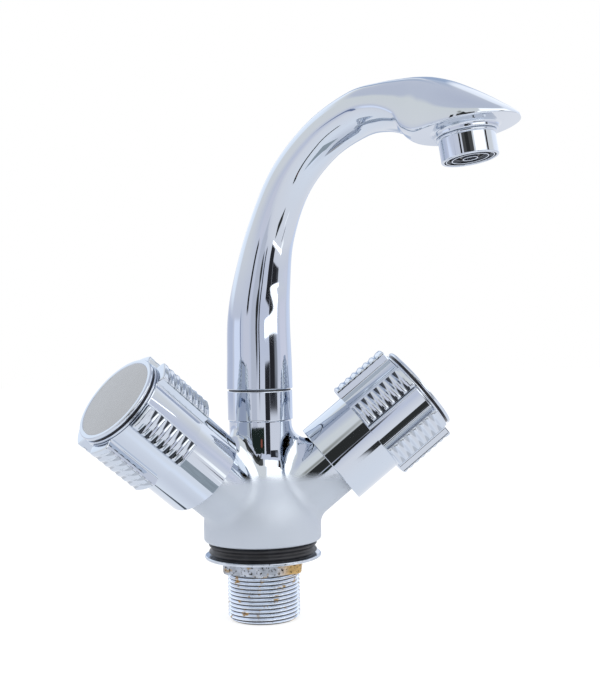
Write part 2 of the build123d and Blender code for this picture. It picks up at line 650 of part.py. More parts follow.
def handle(side):
    """The handle of one arm with its screw and its cap."""
    roll = HANDLE_ROLL[side]
    rim = HANDLE_RIM_AT

    # Sleeve and head in one casting, with four lobes whose outer faces are ribbed across
    with BuildPart() as grip:
        with BuildSketch(arm_plane(side, rim + SLEEVE_LENGTH, roll)):
            Circle(HEAD_R)
            with PolarLocations(LOBE_R / 2, LOBE_COUNT):
                Rectangle(LOBE_R, LOBE_WIDTH)
        extrude(amount=HEAD_TOP - SLEEVE_LENGTH)
        corners = grip.edges().filter_by(Axis((0, 0, 0), arm_direction(side)))
        fillet([e for e in corners if arm_distance(side, e.center()) > HEAD_R + LOBE_EDGE_R], LOBE_EDGE_R)
        with BuildSketch(arm_section(side, rim + SLEEVE_LENGTH)):
            for row in range(RIB_COUNT):
                with Locations((LOBE_R + RIB_R - RIB_DEPTH, RIB_PITCH * (row + RIB_START))):
                    Circle(RIB_R)
        revolve(axis=arm_axis(side), mode=Mode.SUBTRACT)
        with BuildSketch(arm_plane(side, rim)):
            Circle(SLEEVE_R)
        extrude(amount=SLEEVE_LENGTH)
        with BuildSketch(arm_section(side, rim)):
            closed_profile(
                (0, 0), (SLEEVE_BORE_R, 0), (SLEEVE_BORE_R, HUB_BOTTOM), (SPINDLE_SPLINE_R, HUB_BOTTOM),
                (SPINDLE_SPLINE_R, HUB_WEB), (SPINDLE_TAP_R, HUB_WEB), (SPINDLE_TAP_R, SCREW_SEAT),
                (SCREW_POCKET_R, SCREW_SEAT), (SCREW_POCKET_R, HEAD_TOP - CAP_RECESS_DEPTH),
                (CAP_RECESS_R, HEAD_TOP - CAP_RECESS_DEPTH), (CAP_RECESS_R, HEAD_TOP), (0, HEAD_TOP))
        revolve(axis=arm_axis(side), mode=Mode.SUBTRACT)
    save(grip.part, f"{side}_handle")

    # Pan head screw with a hexagon socket
    with BuildPart() as handle_screw:
        with BuildSketch(arm_plane(side, rim + SCREW_SEAT - SCREW_LENGTH)):
            Circle(SCREW_R)
        extrude(amount=SCREW_LENGTH)
        with BuildSketch(arm_plane(side, rim + SCREW_SEAT)):
            Circle(SCREW_HEAD_R)
        extrude(amount=SCREW_HEAD_HEIGHT)
        fillet(handle_screw.edges().sort_by(arm_axis(side))[-1:], SCREW_HEAD_HEIGHT / 3)
        with BuildSketch(arm_plane(side, rim + SCREW_SEAT + SCREW_HEAD_HEIGHT / 2)):
            RegularPolygon(SCREW_SOCKET_FLATS / 2, 6, major_radius=False)
        extrude(amount=SCREW_HEAD_HEIGHT, mode=Mode.SUBTRACT)
    save(handle_screw.part, f"{side}_handle_screw")

    # Cap: a low dome with a grooved rim and a skirt that clips into the head
    with BuildPart() as handle_cap:
        with BuildSketch(arm_section(side, rim + HEAD_TOP)):
            with BuildLine():
                skirt = CAP_RECESS_R - CAP_SKIRT_WALL
                edge = CAP_HEIGHT - CAP_DOME
                groove_low, groove_high = CAP_GROOVE_SPAN
                Polyline(
                    (0, 0), (skirt, 0), (skirt, -CAP_SKIRT_DEPTH),
                    (CAP_RECESS_R, -CAP_SKIRT_DEPTH), (CAP_RECESS_R, 0), (CAP_R, 0),
                    (CAP_R, groove_low), (CAP_R - CAP_GROOVE, groove_low), (CAP_R - CAP_GROOVE, groove_high),
                    (CAP_R, groove_high), (CAP_R, edge - CAP_GROOVE), (CAP_R - CAP_GROOVE, edge))
                TangentArc((0, CAP_HEIGHT), (CAP_R - CAP_GROOVE, edge), tangent=(1, 0))
                Line((0, CAP_HEIGHT), (0, 0))
            make_face()
        revolve(axis=arm_axis(side))
    save(handle_cap.part, f"{side}_handle_cap")


for side in SIDE_SIGN:
    headwork(side)
    handle(side)
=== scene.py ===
"""Basin mixer tap with two ribbed handles and a swivel spout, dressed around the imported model.

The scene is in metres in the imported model's own frame: +Z up the shank and the spout's swivel
axis, -Y the tap's front, and the origin where its axis meets the deck, under the seal. The shapes
below are worked out in millimetres and put into that frame by make_piece.
"""
import json
from math import atan2, cos, degrees, hypot, pi, radians, sin, sqrt

import bmesh
import bpy
import numpy as np
from mathutils import Matrix, Vector


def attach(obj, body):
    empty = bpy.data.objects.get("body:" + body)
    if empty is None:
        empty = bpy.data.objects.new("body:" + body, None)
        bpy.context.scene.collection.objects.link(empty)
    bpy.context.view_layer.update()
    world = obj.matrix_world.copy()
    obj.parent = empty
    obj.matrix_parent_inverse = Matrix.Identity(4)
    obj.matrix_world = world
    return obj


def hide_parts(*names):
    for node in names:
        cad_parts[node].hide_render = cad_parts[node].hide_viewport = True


bl_info = {
    "name": "Basin mixer tap",
    "version": (1, 0, 0),
    "blender": (4, 5, 0),
    "location": "View3D > Sidebar > Basin mixer",
    "description": "Dresses the packed basin mixer tap and sets it in a white studio",
    "category": "Add Mesh",
}

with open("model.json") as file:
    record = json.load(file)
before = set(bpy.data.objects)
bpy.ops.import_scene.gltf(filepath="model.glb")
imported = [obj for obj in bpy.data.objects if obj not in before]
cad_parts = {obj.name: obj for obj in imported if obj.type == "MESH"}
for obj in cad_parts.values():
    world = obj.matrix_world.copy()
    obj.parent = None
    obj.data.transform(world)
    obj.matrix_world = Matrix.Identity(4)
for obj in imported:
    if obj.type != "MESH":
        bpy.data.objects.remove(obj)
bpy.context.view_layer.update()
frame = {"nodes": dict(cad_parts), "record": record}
NODES = frame["nodes"]
SLOT_OF = {row["node"]: row["material_slot"] for row in frame["record"]["subparts"]}
FINISH_NAME = "{}_finish"
# Pieces that are shown in a finish of their own, not in that of their slot
OWN_FINISH = {
    "body_casting": "chrome_casting",
    "hot_cap_groove": "groove_shadow", "cold_cap_groove": "groove_shadow",
    "hot_handle_grip": "chrome_ribbed_hot", "cold_handle_grip": "chrome_ribbed_cold",
}
SOCKET_KINDS = {1: "NodeSocketFloat", 3: "NodeSocketVector", 4: "NodeSocketColor"}
MM = 0.001
WELD = 1e-7

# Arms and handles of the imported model, in millimetres
ARM_ROOT = np.array((0.0, 0.0, 11.8))
ARM_RISE = radians(39.2)
ARM_SWEEP = radians(17.0)
SIDE_SIGN = {"hot": -1, "cold": 1}
HANDLE_RIM = 35.0
HANDLE_ROLL = {"hot": radians(-13.0), "cold": radians(26.0)}
SLEEVE_R = 17.0
SLEEVE_BORE_R = 15.4
SLEEVE_LENGTH = 19.5
HEAD_R = 17.9
HEAD_TOP = 43.4
LOBE_R = 21.5
LOBE_HALF = 4.8
LOBE_FACE_DEPTH = 0.9
LOBE_COUNT = 6
RIB_COUNT = 7
RIB_START = 0.9
CAP_SEAT_R = 15.0
CAP_HEIGHT = 3.4
CAP_FACE_R = 15.7
HUB_R = 5.0
HUB_BORE_R = 3.95
SCREW_BORE_R = 2.0

# Spout, outlet, shank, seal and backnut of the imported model, in millimetres
SPOUT_SWING = radians(37.5)
BILL_TILT = radians(9.0)
BILL_REACH = 88.3
BILL_HEIGHT = 154.3
BILL_CUT_R = 24.0
BOSS_DROP = 2.0
AERATOR_HEIGHT = 8.6
SHANK_R = 14.0
SHANK_DROP = 25.0
SEAL_THICKNESS = 5.4
BACKNUT_TOP = -1.2
BACKNUT_THICKNESS = 5.5
BACKNUT_HALF_FLATS = 15.0
BACKNUT_CORNER_R = 16.9
BACKNUT_TURN = radians(8.0)
CAST_ROUGHNESS = 0.045
SHANK_BORE_R = 11.6
SPIGOT_R = 13.2
SPIGOT_TOP = 9.0
SEAL_BORE_R = 14.3
SEAL_VALLEY_R = 20.1
SEAL_RIDGE = 0.9

# Each row is reach, height, lean of the spine from upright, half width, top and bottom
SPOUT_STATIONS = np.array((
    (0.0, 64.0, 0.0, 12.8, 12.8, 12.8),
    (0.0, 75.0, 0.0, 12.5, 12.5, 12.7),
    (0.1, 91.0, 3.0, 12.0, 12.0, 12.3),
    (1.9, 105.0, 11.0, 10.9, 10.9, 11.3),
    (6.8, 124.0, 22.0, 9.2, 9.3, 9.2),
    (16.2, 143.0, 36.0, 8.6, 8.7, 8.2),
    (30.3, 157.0, 55.0, 8.8, 8.5, 8.1),
    (46.0, 164.6, 76.0, 9.8, 8.9, 8.3),
    (57.0, 165.2, 88.0, 10.8, 9.7, 7.9),
    (65.6, 161.8, 92.0, 12.0, 13.2, 6.8),
    (70.0, 156.8, 94.0, 13.8, 18.0, 5.2),
    (76.0, 153.8, 94.0, 16.4, 20.0, 3.8),
    (84.0, 154.2, 92.0, 18.2, 17.2, 2.4),
    (92.0, 155.4, 90.0, 18.0, 12.4, 2.2),
    (98.0, 156.3, 88.0, 15.8, 8.3, 2.0),
    (103.0, 157.0, 86.0, 11.6, 4.5, 1.6),
    (106.0, 157.3, 85.0, 6.8, 2.2, 1.2),
    (107.6, 157.5, 84.0, 1.6, 0.5, 0.5),
))
SPOUT_TAIL_R = 8.4
SPOUT_TAIL_DEPTH = 12.0
FOOT_CHAMFER = 0.35

# Numbers of the masks, and places on the tap, in metres, where a finish changes
NOISE_RANGE = (0.35, 0.65)
SPECK_SHARPNESS = 14.0
# The hollow numbers shape the painted shade and painted dark reflection in the handles' rib hollows
HOLLOW_SHADE_SPREAD, HOLLOW_SHADE_LEVEL, HOLLOW_SHADE_SHARPNESS = 0.75, 1.1, 6.0
HOLLOW_SHADE_SHARE, FIRST_LOBE_EXTRA_SHADE = 0.3, 0.65
BELL_FADE = (0.0325, 0.0285)
BELL_ROUGHNESS, BELL_METAL = 0.5, 0.35
# Radii below which the thread's roots get painted shade
THREAD_ROOT_SHADE = (0.0133, 0.0132)
WORN_SIDE = (0.0, 0.006)


# Settings that a user would change

class BasinMixerSizes(bpy.types.PropertyGroup):
    """Sizes of the fine shapes that the scene adds."""
    rib_depth: bpy.props.FloatProperty(
        name="Rib depth", description="Depth of the hollows between the handle's ribs",
        default=0.45 * MM, min=0, subtype="DISTANCE", unit="LENGTH")
    rib_pitch: bpy.props.FloatProperty(
        name="Rib pitch", description="Distance from one rib of the handle to the next",
        default=3.05 * MM, min=0.001, subtype="DISTANCE", unit="LENGTH")
    thread_pitch: bpy.props.FloatProperty(
        name="Thread pitch", description="Pitch of the shank's thread",
        default=1.5 * MM, min=0.0005, subtype="DISTANCE", unit="LENGTH")
    thread_depth: bpy.props.FloatProperty(
        name="Thread depth", description="Depth of the shank's thread",
        default=0.85 * MM, min=0, subtype="DISTANCE", unit="LENGTH")


class BasinMixerFinish(bpy.types.PropertyGroup):
    """Colours of the finishes."""
    chrome_colour: bpy.props.FloatVectorProperty(
        name="Chrome", description="Colour of the polished plating",
        default=(0.60, 0.645, 0.715), subtype="COLOR")
    satin_colour: bpy.props.FloatVectorProperty(
        name="Satin caps", description="Colour of the satin caps",
        default=(0.41, 0.40, 0.395), subtype="COLOR")
    brass_colour: bpy.props.FloatVectorProperty(
        name="Brass", description="Colour of turned and cast brass",
        default=(0.60, 0.40, 0.17), subtype="COLOR")
    rubber_colour: bpy.props.FloatVectorProperty(
        name="Rubber", description="Colour of the seals", default=(0.012, 0.012, 0.014), subtype="COLOR")


class BasinMixerStudio(bpy.types.PropertyGroup):
    """Camera, floor and light of the studio."""
    camera_place: bpy.props.FloatVectorProperty(
        name="Camera place", description="Where the camera stands, from the tap's origin",
        default=(-0.135, -0.4068, 0.0825), subtype="TRANSLATION", unit="LENGTH")
    camera_azimuth: bpy.props.FloatProperty(
        name="Azimuth", description="Turn of the view about the vertical",
        default=radians(-20.5), subtype="ANGLE")
    camera_pitch: bpy.props.FloatProperty(
        name="Pitch", description="How far the view looks down",
        default=radians(0.5), subtype="ANGLE")
    camera_roll: bpy.props.FloatProperty(
        name="Roll", description="Clockwise roll of the camera", default=radians(1.2), subtype="ANGLE")
    camera_lens: bpy.props.FloatProperty(
        name="Lens", description="Focal length on a 36 mm sensor, in millimetres", default=56.57)
    floor_colour: bpy.props.FloatVectorProperty(
        name="Floor", description="Colour of the floor", default=(0.9, 0.9, 0.9), subtype="COLOR")
    lamp_power: bpy.props.FloatProperty(
        name="Lamp power", description="Power of each soft lamp", default=3.0, unit="POWER")


# Node groups and materials

def add_node(tree, kind, *ordered, **named):
    """A node of a kind, with values for its inputs, in order or by name, and for its settings.

    A value that is a socket is linked to the input.
    """
    node = tree.nodes.new(kind)
    for key, value in (*named.items(), *enumerate(ordered)):
        if isinstance(key, str) and key not in node.inputs:
            setattr(node, key, value)
        elif isinstance(value, bpy.types.NodeSocket):
            tree.links.new(value, node.inputs[key])
        else:
            node.inputs[key].default_value = value
    return node


def math_node(tree, operation, *numbers, **settings):
    """The output of a Math node whose inputs are sockets or numbers."""
    return add_node(tree, "ShaderNodeMath", *numbers, operation=operation, **settings).outputs[0]


def new_group(name, inputs, output, kind="NodeSocketFloat"):
    """A shader node group with one output, still empty, and the sockets of its inputs by name.

    An input's kind follows from its value: a number, a vector of three or a colour of four.
    """
    group = bpy.data.node_groups.new(name, "ShaderNodeTree")
    for label, value in inputs.items():
        length = len(value) if isinstance(value, tuple) else 1
        socket = group.interface.new_socket(label, in_out="INPUT", socket_type=SOCKET_KINDS[length])
        socket.default_value = value
    group.interface.new_socket(output, in_out="OUTPUT", socket_type=kind)
    return group, add_node(group, "NodeGroupInput").outputs


def noise_in_group(group, given, detail):
    """A noise on Object coordinates, with its scale from the group's Scale input."""
    place = add_node(group, "ShaderNodeTexCoord")
    noise = add_node(group, "ShaderNodeTexNoise", Detail=detail, Vector=place.outputs["Object"], Scale=given["Scale"])
    return noise.outputs["Fac"]


def ramp(tree, value, low, high, to_low=0.0, to_high=1.0, **settings):
    """A value spread so that low gives to_low and high gives to_high."""
    spread = add_node(tree, "ShaderNodeMapRange", value, low, high, to_low, to_high, **settings)
    return spread.outputs["Result"]


def mixed(tree, share, first, second):
    """A blend of two colours, the second where the share is one."""
    return add_node(tree, "ShaderNodeMixRGB", share, first, second).outputs["Color"]


def build_groups():
    """The effects that several finishes share: haze, tint, relief, specks and the painted shade in the rib hollows.
    """
    haze, given = new_group("haze", {"Scale": 60.0, "Low": 0.03, "High": 0.06}, "Roughness")
    spread = ramp(haze, noise_in_group(haze, given, 4.0), *NOISE_RANGE, given["Low"], given["High"])
    add_node(haze, "NodeGroupOutput", Roughness=spread)

    white = (1.0, 1.0, 1.0, 1.0)
    tint, given = new_group("tint", {"Scale": 30.0, "First": white, "Second": white}, "Colour", SOCKET_KINDS[4])
    share = ramp(tint, noise_in_group(tint, given, 3.0), *NOISE_RANGE)
    add_node(tint, "NodeGroupOutput", Colour=mixed(tint, share, given["First"], given["Second"]))

    relief, given = new_group("relief", {"Scale": 60.0, "Depth": 0.00001}, "Normal", SOCKET_KINDS[3])
    bump = add_node(relief, "ShaderNodeBump", Strength=1.0, Height=noise_in_group(relief, given, 2.0),
                    Distance=given["Depth"])
    add_node(relief, "NodeGroupOutput", Normal=bump.outputs["Normal"])

    specks, given = new_group("specks", {"Scale": 400.0, "Share": 0.4}, "Mask")
    edge = math_node(specks, "SUBTRACT", given["Share"], noise_in_group(specks, given, 5.0))
    add_node(specks, "NodeGroupOutput", Mask=math_node(specks, "MULTIPLY", edge, SPECK_SHARPNESS, use_clamp=True))
    return {"haze": haze, "tint": tint, "relief": relief, "specks": specks, "rib_hollows": rib_shade_group()}


def rib_shade_group():
    """A mask of painted shade and painted dark reflection for the hollows between a handle's ribs, widest at the
    corners of its lobes.

    The mask is HOLLOW_SHADE_SHARPNESS * (wave + HOLLOW_SHADE_SPREAD * side - HOLLOW_SHADE_LEVEL), where the wave is
    one in the middle of a hollow and nought on a rib, and the side is the share of the lobe's half
    width. It is HOLLOW_SHADE_SHARE strong, and FIRST_LOBE_EXTRA_SHADE more on the lobe that faces the camera
    at rest.
    """
    group, given = new_group("rib_hollows", {
        "Origin": (0.0, 0.0, 0.0), "First": (1.0, 0.0, 0.0), "Second": (0.0, 1.0, 0.0), "Out": (0.0, 0.0, 1.0),
        "Pitch": 0.003}, "Mask")

    def step(operation, *numbers):
        return math_node(group, operation, *numbers)

    place = add_node(group, "ShaderNodeTexCoord").outputs["Object"]
    offset = add_node(group, "ShaderNodeVectorMath", place, given["Origin"], operation="SUBTRACT").outputs[0]
    first, second, along = (
        add_node(group, "ShaderNodeVectorMath", offset, given[label], operation="DOT_PRODUCT").outputs["Value"]
        for label in ("First", "Second", "Out"))
    radius = step("SQRT", step("ADD", step("MULTIPLY", first, first), step("MULTIPLY", second, second)))
    angle = step("ARCTAN2", second, first)
    turn = step("WRAP", angle, pi / LOBE_COUNT, -pi / LOBE_COUNT)
    side = step("ABSOLUTE", step("MULTIPLY", radius, step("SINE", turn)))
    side = step("MULTIPLY", side, HOLLOW_SHADE_SPREAD / (LOBE_HALF * MM))
    ribs = step("DIVIDE", along, given["Pitch"])
    wave = step("MULTIPLY", step("SUBTRACT", 1.0, step("COSINE", step("MULTIPLY", ribs, 2 * pi))), 0.5)
    lens = step("MULTIPLY", step("ADD", step("ADD", wave, side), -HOLLOW_SHADE_LEVEL), HOLLOW_SHADE_SHARPNESS)
    front = step("LESS_THAN", step("ABSOLUTE", angle), pi / LOBE_COUNT)
    tests = (
        step("GREATER_THAN", radius, (LOBE_R - LOBE_FACE_DEPTH) * MM), step("GREATER_THAN", ribs, 0.0),
        step("LESS_THAN", ribs, float(RIB_COUNT)),
        step("ADD", step("MULTIPLY", front, FIRST_LOBE_EXTRA_SHADE), HOLLOW_SHADE_SHARE))
    mask = add_node(group, "ShaderNodeClamp", Value=lens).outputs[0]
    for test in tests:
        mask = step("MULTIPLY", mask, test)
    add_node(group, "NodeGroupOutput", Mask=mask)
    return group


def place_group(tree, group, **values):
    """A shared effect inside a material, with its own values."""
    return add_node(tree, "ShaderNodeGroup", node_tree=group, **values)


def cleared_tree(owner):
    """The empty node tree of a material or world."""
    owner.use_nodes = True
    owner.node_tree.nodes.clear()
    return owner.node_tree


def new_finish(name, groups, colour, second, drift, rough, haze, grain, depth, metal=0.0):
    """A material whose colour, roughness and surface all vary a little over the piece.

    It returns the node tree, the shader and the socket of the varying colour.
    """
    tree = cleared_tree(bpy.data.materials.new(FINISH_NAME.format(name)))
    tint = place_group(tree, groups["tint"], Scale=drift, First=(*colour, 1), Second=(*second, 1))
    dull = place_group(tree, groups["haze"], Scale=haze, Low=rough[0], High=rough[1])
    relief = place_group(tree, groups["relief"], Scale=grain, Depth=depth)
    shader = add_node(
        tree, "ShaderNodeBsdfPrincipled", Metallic=metal, Roughness=dull.outputs["Roughness"],
        Normal=relief.outputs["Normal"], **{"Base Color": tint.outputs["Colour"], "Specular IOR Level": 0.5})
    add_node(tree, "ShaderNodeOutputMaterial", Surface=shader.outputs["BSDF"])
    return tree, shader, tint.outputs["Colour"]


def finish_of(slot):
    """The material made for one of the record's slots."""
    return bpy.data.materials[FINISH_NAME.format(slot)]


def shade(colour, factor):
    """A colour made darker or lighter."""
    return tuple(c * factor for c in colour)


def cover(tree, shader, under, mask, colour):
    """Lay a colour over what feeds the base colour, by a mask, and return the mixed socket."""
    mix = mixed(tree, mask, under, (*colour, 1))
    tree.links.new(mix, shader.inputs["Base Color"])
    return mix


def object_parts(tree):
    """The x, y and z of the surface in Object coordinates."""
    place = add_node(tree, "ShaderNodeTexCoord")
    parts = add_node(tree, "ShaderNodeSeparateXYZ", Vector=place.outputs["Object"])
    return [parts.outputs[axis] for axis in "XYZ"]


def build_materials(finish, sizes):
    """One material for each of the record's slots, and a few for single pieces."""
    groups = build_groups()
    chrome, satin = tuple(finish.chrome_colour), tuple(finish.satin_colour)
    brass, rubber = tuple(finish.brass_colour), tuple(finish.rubber_colour)

    def finished(name, *values):
        return new_finish(name, groups, *values)

    def plated(name):
        return finished(name, chrome, shade(chrome, 0.97), 25, (0.02, 0.05), 80, 55, 4e-6, 1)

    plated("chrome_plate")
    finished("satin_chrome", satin, shade(satin, 0.97), 90, (0.26, 0.3), 600, 3000, 2e-7, 1)
    # Near-black finish of the rings in the caps' grooves: painted shadow
    finished("groove_shadow", (0.03, 0.03, 0.035), (0.05, 0.05, 0.055), 200, (0.2, 0.3), 400, 1500, 1e-6, 1)
    finished("turned_brass", brass, shade(brass, 0.85), 120, (0.2, 0.32), 300, 900, 2e-6, 1)
    finished("spring_steel", (0.42, 0.43, 0.45), (0.34, 0.35, 0.37), 150, (0.2, 0.34), 400, 1500, 1e-6, 1)
    finished("black_rubber", rubber, shade(rubber, 1.8), 200, (0.32, 0.5), 300, 2500, 6e-6)
    finished("seal_rubber", shade(rubber, 1.4), shade(rubber, 2.2), 200, (0.4, 0.6), 300, 2500, 6e-6)
    finished("dark_nylon", (0.04, 0.04, 0.045), (0.055, 0.055, 0.06), 150, (0.35, 0.5), 300, 2000, 3e-6)
    finished("aerator_plastic", (0.02, 0.02, 0.022), (0.035, 0.035, 0.04), 300, (0.3, 0.45), 500, 2000, 2e-6)
    finished("disc_ceramic", (0.86, 0.86, 0.84), (0.82, 0.82, 0.81), 90, (0.08, 0.16), 200, 900, 5e-7)

    # The bell is dull and plain in the photograph, so the casting's plating fades below the neck
    tree, shader, _ = plated("chrome_casting")
    height = object_parts(tree)[2]
    haze = shader.inputs["Roughness"].links[0].from_socket
    dull = math_node(tree, "MAXIMUM", ramp(tree, height, *BELL_FADE, 0.0, BELL_ROUGHNESS), haze)
    tree.links.new(dull, shader.inputs["Roughness"])
    tree.links.new(ramp(tree, height, *BELL_FADE, 1.0, BELL_METAL), shader.inputs["Metallic"])

    # The grips' plating, with painted shade and painted dark reflection laid into the rib hollows
    for side in SIDE_SIGN:
        tree, shader, colour = plated(f"chrome_ribbed_{side}")
        origin, first, second, out = arm_axes(
            side, HANDLE_ROLL[side], HANDLE_RIM + SLEEVE_LENGTH + RIB_START)
        ribs = place_group(tree, groups["rib_hollows"], Origin=origin * MM, First=first, Second=second, Out=out,
                           Pitch=sizes.rib_pitch)
        cover(tree, shader, colour, ribs.outputs["Mask"], (0.03, 0.035, 0.045))

    def speckled(tree, shader, under, scale, share, colour):
        specks = place_group(tree, groups["specks"], Scale=scale, Share=share)
        return cover(tree, shader, under, specks.outputs["Mask"], colour)

    # The thread's plating is a lighter copy of the chrome: painted light
    tree, shader, colour = finished(
        "plated_thread", shade(chrome, 1.35), shade(chrome, 1.1), 90, (0.1, 0.28), 350, 700, 1.2e-5, 1)
    x, y, _ = object_parts(tree)
    flat = add_node(tree, "ShaderNodeCombineXYZ", x, y)
    radius = add_node(tree, "ShaderNodeVectorMath", flat.outputs[0], operation="LENGTH").outputs["Value"]
    # Painted shade, darker in the thread's roots below a radius; the brass specks are wear
    root_shade = ramp(tree, radius, *THREAD_ROOT_SHADE)
    colour = cover(tree, shader, colour, root_shade, (0.10, 0.095, 0.09))
    speckled(tree, shader, colour, 260, 0.40, shade(brass, 0.75))

    tree, shader, colour = finished(
        "plated_washer", shade(chrome, 1.05), shade(chrome, 0.85), 150, (0.06, 0.2), 350, 500, 5e-6, 1)
    speckled(tree, shader, colour, 700, 0.36, (0.08, 0.07, 0.06))

    # The backnut's plating is worn to the brass on one side
    tree, shader, colour = finished(
        "cast_brass", shade(chrome, 0.9), shade(chrome, 0.62), 320, (0.22, 0.5), 350, 900, 9e-5, 1)
    colour = cover(tree, shader, colour, ramp(tree, object_parts(tree)[0], *WORN_SIDE), brass)
    colour = speckled(tree, shader, colour, 190, 0.45, shade(brass, 0.7))
    speckled(tree, shader, colour, 900, 0.43, (0.03, 0.025, 0.02))


class BasinMixerFinishes(bpy.types.Operator):
    """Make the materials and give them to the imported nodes"""
    bl_idname = "basin_mixer.finishes"
    bl_label = "Finishes"

    def execute(self, context):
        build_materials(context.scene.basin_mixer_finish, context.scene.basin_mixer_sizes)
        for node, obj in NODES.items():
            obj.data.materials.clear()
            obj.data.materials.append(finish_of(OWN_FINISH.get(node, SLOT_OF[node])))
        return {"FINISHED"}


# Shapes

UP = np.array((0.0, 0.0, 1.0))
OUTWARD = np.array((sin(SPOUT_SWING), -cos(SPOUT_SWING), 0.0))
ACROSS = np.cross(UP, OUTWARD)
WATER = OUTWARD * sin(BILL_TILT) - UP * cos(BILL_TILT)
OUTLET = OUTWARD * BILL_REACH + UP * BILL_HEIGHT
TAP_AXES = (np.zeros(3), np.array((1.0, 0.0, 0.0)), np.array((0.0, 1.0, 0.0)), UP)
OUTLET_AXES = (OUTLET, ACROSS, np.cross(WATER, ACROSS), WATER)


def arm_axes(side, roll=0.0, along=0.0):
    """Origin and unit vectors of an arm: the first two square to it, the third out along it."""
    sign = SIDE_SIGN[side]
    out = np.array((sign * cos(ARM_SWEEP) * cos(ARM_RISE), -sin(ARM_SWEEP) * cos(ARM_RISE), sin(ARM_RISE)))
    level = np.array((-sign * sin(ARM_SWEEP), -cos(ARM_SWEEP), 0.0))
    upper = np.cross(level, out) * sign
    first = level * cos(roll) + upper * sin(roll)
    return ARM_ROOT + out * along, first, np.cross(out, first), out


def polar(axes, radius, angle, along):
    """Points at a radius and an angle round an axis, a length along it. The arrays broadcast."""
    origin, first, second, third = axes
    radius, angle, along = np.broadcast_arrays(radius, angle, along)
    flat = (radius * np.cos(angle))[..., None] * first + (radius * np.sin(angle))[..., None] * second
    return origin + flat + along[..., None] * third


def placed(name, data):
    """A new object in the scene."""
    obj = bpy.data.objects.new(name, data)
    bpy.context.scene.collection.objects.link(obj)
    return obj


def make_piece(name, vertices, faces, material, body, replaced=(), sharp=32.0):
    """A mesh object from millimetre vertices, smooth but for edges sharper than an angle."""
    mesh = bpy.data.meshes.new(name)
    mesh.from_pydata((np.asarray(vertices) * MM).tolist(), [], faces)
    work = bmesh.new()
    work.from_mesh(mesh)
    bmesh.ops.remove_doubles(work, verts=work.verts, dist=WELD)
    bmesh.ops.dissolve_degenerate(work, edges=work.edges, dist=WELD)
    bmesh.ops.recalc_face_normals(work, faces=work.faces)
    work.to_mesh(mesh)
    work.free()
    mesh.shade_smooth()
    mesh.set_sharp_from_angle(angle=radians(sharp))
    piece = placed(name, mesh)
    mesh.materials.append(finish_of(OWN_FINISH.get(name, material)))
    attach(piece, body)
    if replaced:
        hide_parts(*replaced)
    return piece


def ring_faces(rows, columns, closed):
    """Faces between rings that close on themselves, and from the last ring to the first if closed."""
    row, column = np.meshgrid(np.arange(rows if closed else rows - 1), np.arange(columns), indexing="ij")
    here, above = row * columns, (row + 1) % rows * columns
    beside = (column + 1) % columns
    corners = (here + column, here + beside, above + beside, above + column)
    return np.stack(corners, axis=-1).reshape(-1, 4).tolist()


def make_rings(name, points, material, body, replaced=(), sharp=32.0):
    """A piece from rings whose last joins the first, so that its wall is closed."""
    faces = ring_faces(*points.shape[:2], True)
    return make_piece(name, points.reshape(-1, 3), faces, material, body, replaced, sharp)


def rounded(profile, radii, steps=4):
    """A profile of (radius, height) points with its corners rounded.

    Each corner is replaced by a quadratic curve between the points at its radius before and
    after it, no further than halfway to the neighbours.
    """
    profile = np.asarray(profile, float)
    radii = np.broadcast_to(radii, len(profile))
    turns = np.linspace(0, 1, steps + 1)[:, None]
    out = [profile[:1]]
    for before, corner, after, size in zip(profile, profile[1:], profile[2:], radii[1:]):
        to_before, to_after = before - corner, after - corner
        near = corner + to_before * min(size / hypot(*to_before), 0.5)
        far = corner + to_after * min(size / hypot(*to_after), 0.5)
        curve = near * (1 - turns) ** 2 + 2 * corner * turns * (1 - turns) + far * turns**2
        out.append(curve if size > 0 else corner[None])
    return np.concatenate((*out, profile[-1:]))


def held(profile, reach=0.12):
    """A profile with points added near both ends of its straight runs, so that they shade flat."""
    profile = np.asarray(profile, float)
    out = [profile[:1]]
    for start, end in zip(profile, profile[1:]):
        share = reach / max(hypot(*(end - start)), WELD)
        if share < 0.2:
            out.append(np.stack((start + (end - start) * share, end - (end - start) * share)))
        out.append(end[None])
    return np.concatenate(out)


def make_lathe(name, axes, profile, material, body, replaced=(), columns=128):
    """A turned piece: a profile of (radius, height) points carried round an axis and closed."""
    angle = np.linspace(0, 2 * pi, columns, endpoint=False)
    profile = held(profile)
    points = polar(axes, profile[:, :1], angle, profile[:, 1:])
    return make_rings(name, points, material, body, replaced)


# Spout

def station_rows(count):
    """The stations blended at evenly spaced places by cubic curves through their neighbours.

    Between rows b and c, with neighbours a and d, the value is the cubic that has the values b
    and c at its ends and the slopes (c - a) / 2 and (d - b) / 2 there.
    """
    last = len(SPOUT_STATIONS) - 1
    at = np.linspace(0, last, count)
    first = np.minimum(at.astype(int), last - 1)
    part = (at - first)[:, None]
    a, b, c, d = (SPOUT_STATIONS[np.clip(first + step, 0, last)] for step in (-1, 0, 1, 2))
    leaving, arriving = (c - a) / 2, (d - b) / 2
    value = b * (2 * part**3 - 3 * part**2 + 1) + leaving * (part**3 - 2 * part**2 + part)
    return value + c * (3 * part**2 - 2 * part**3) + arriving * (part**3 - part**2)


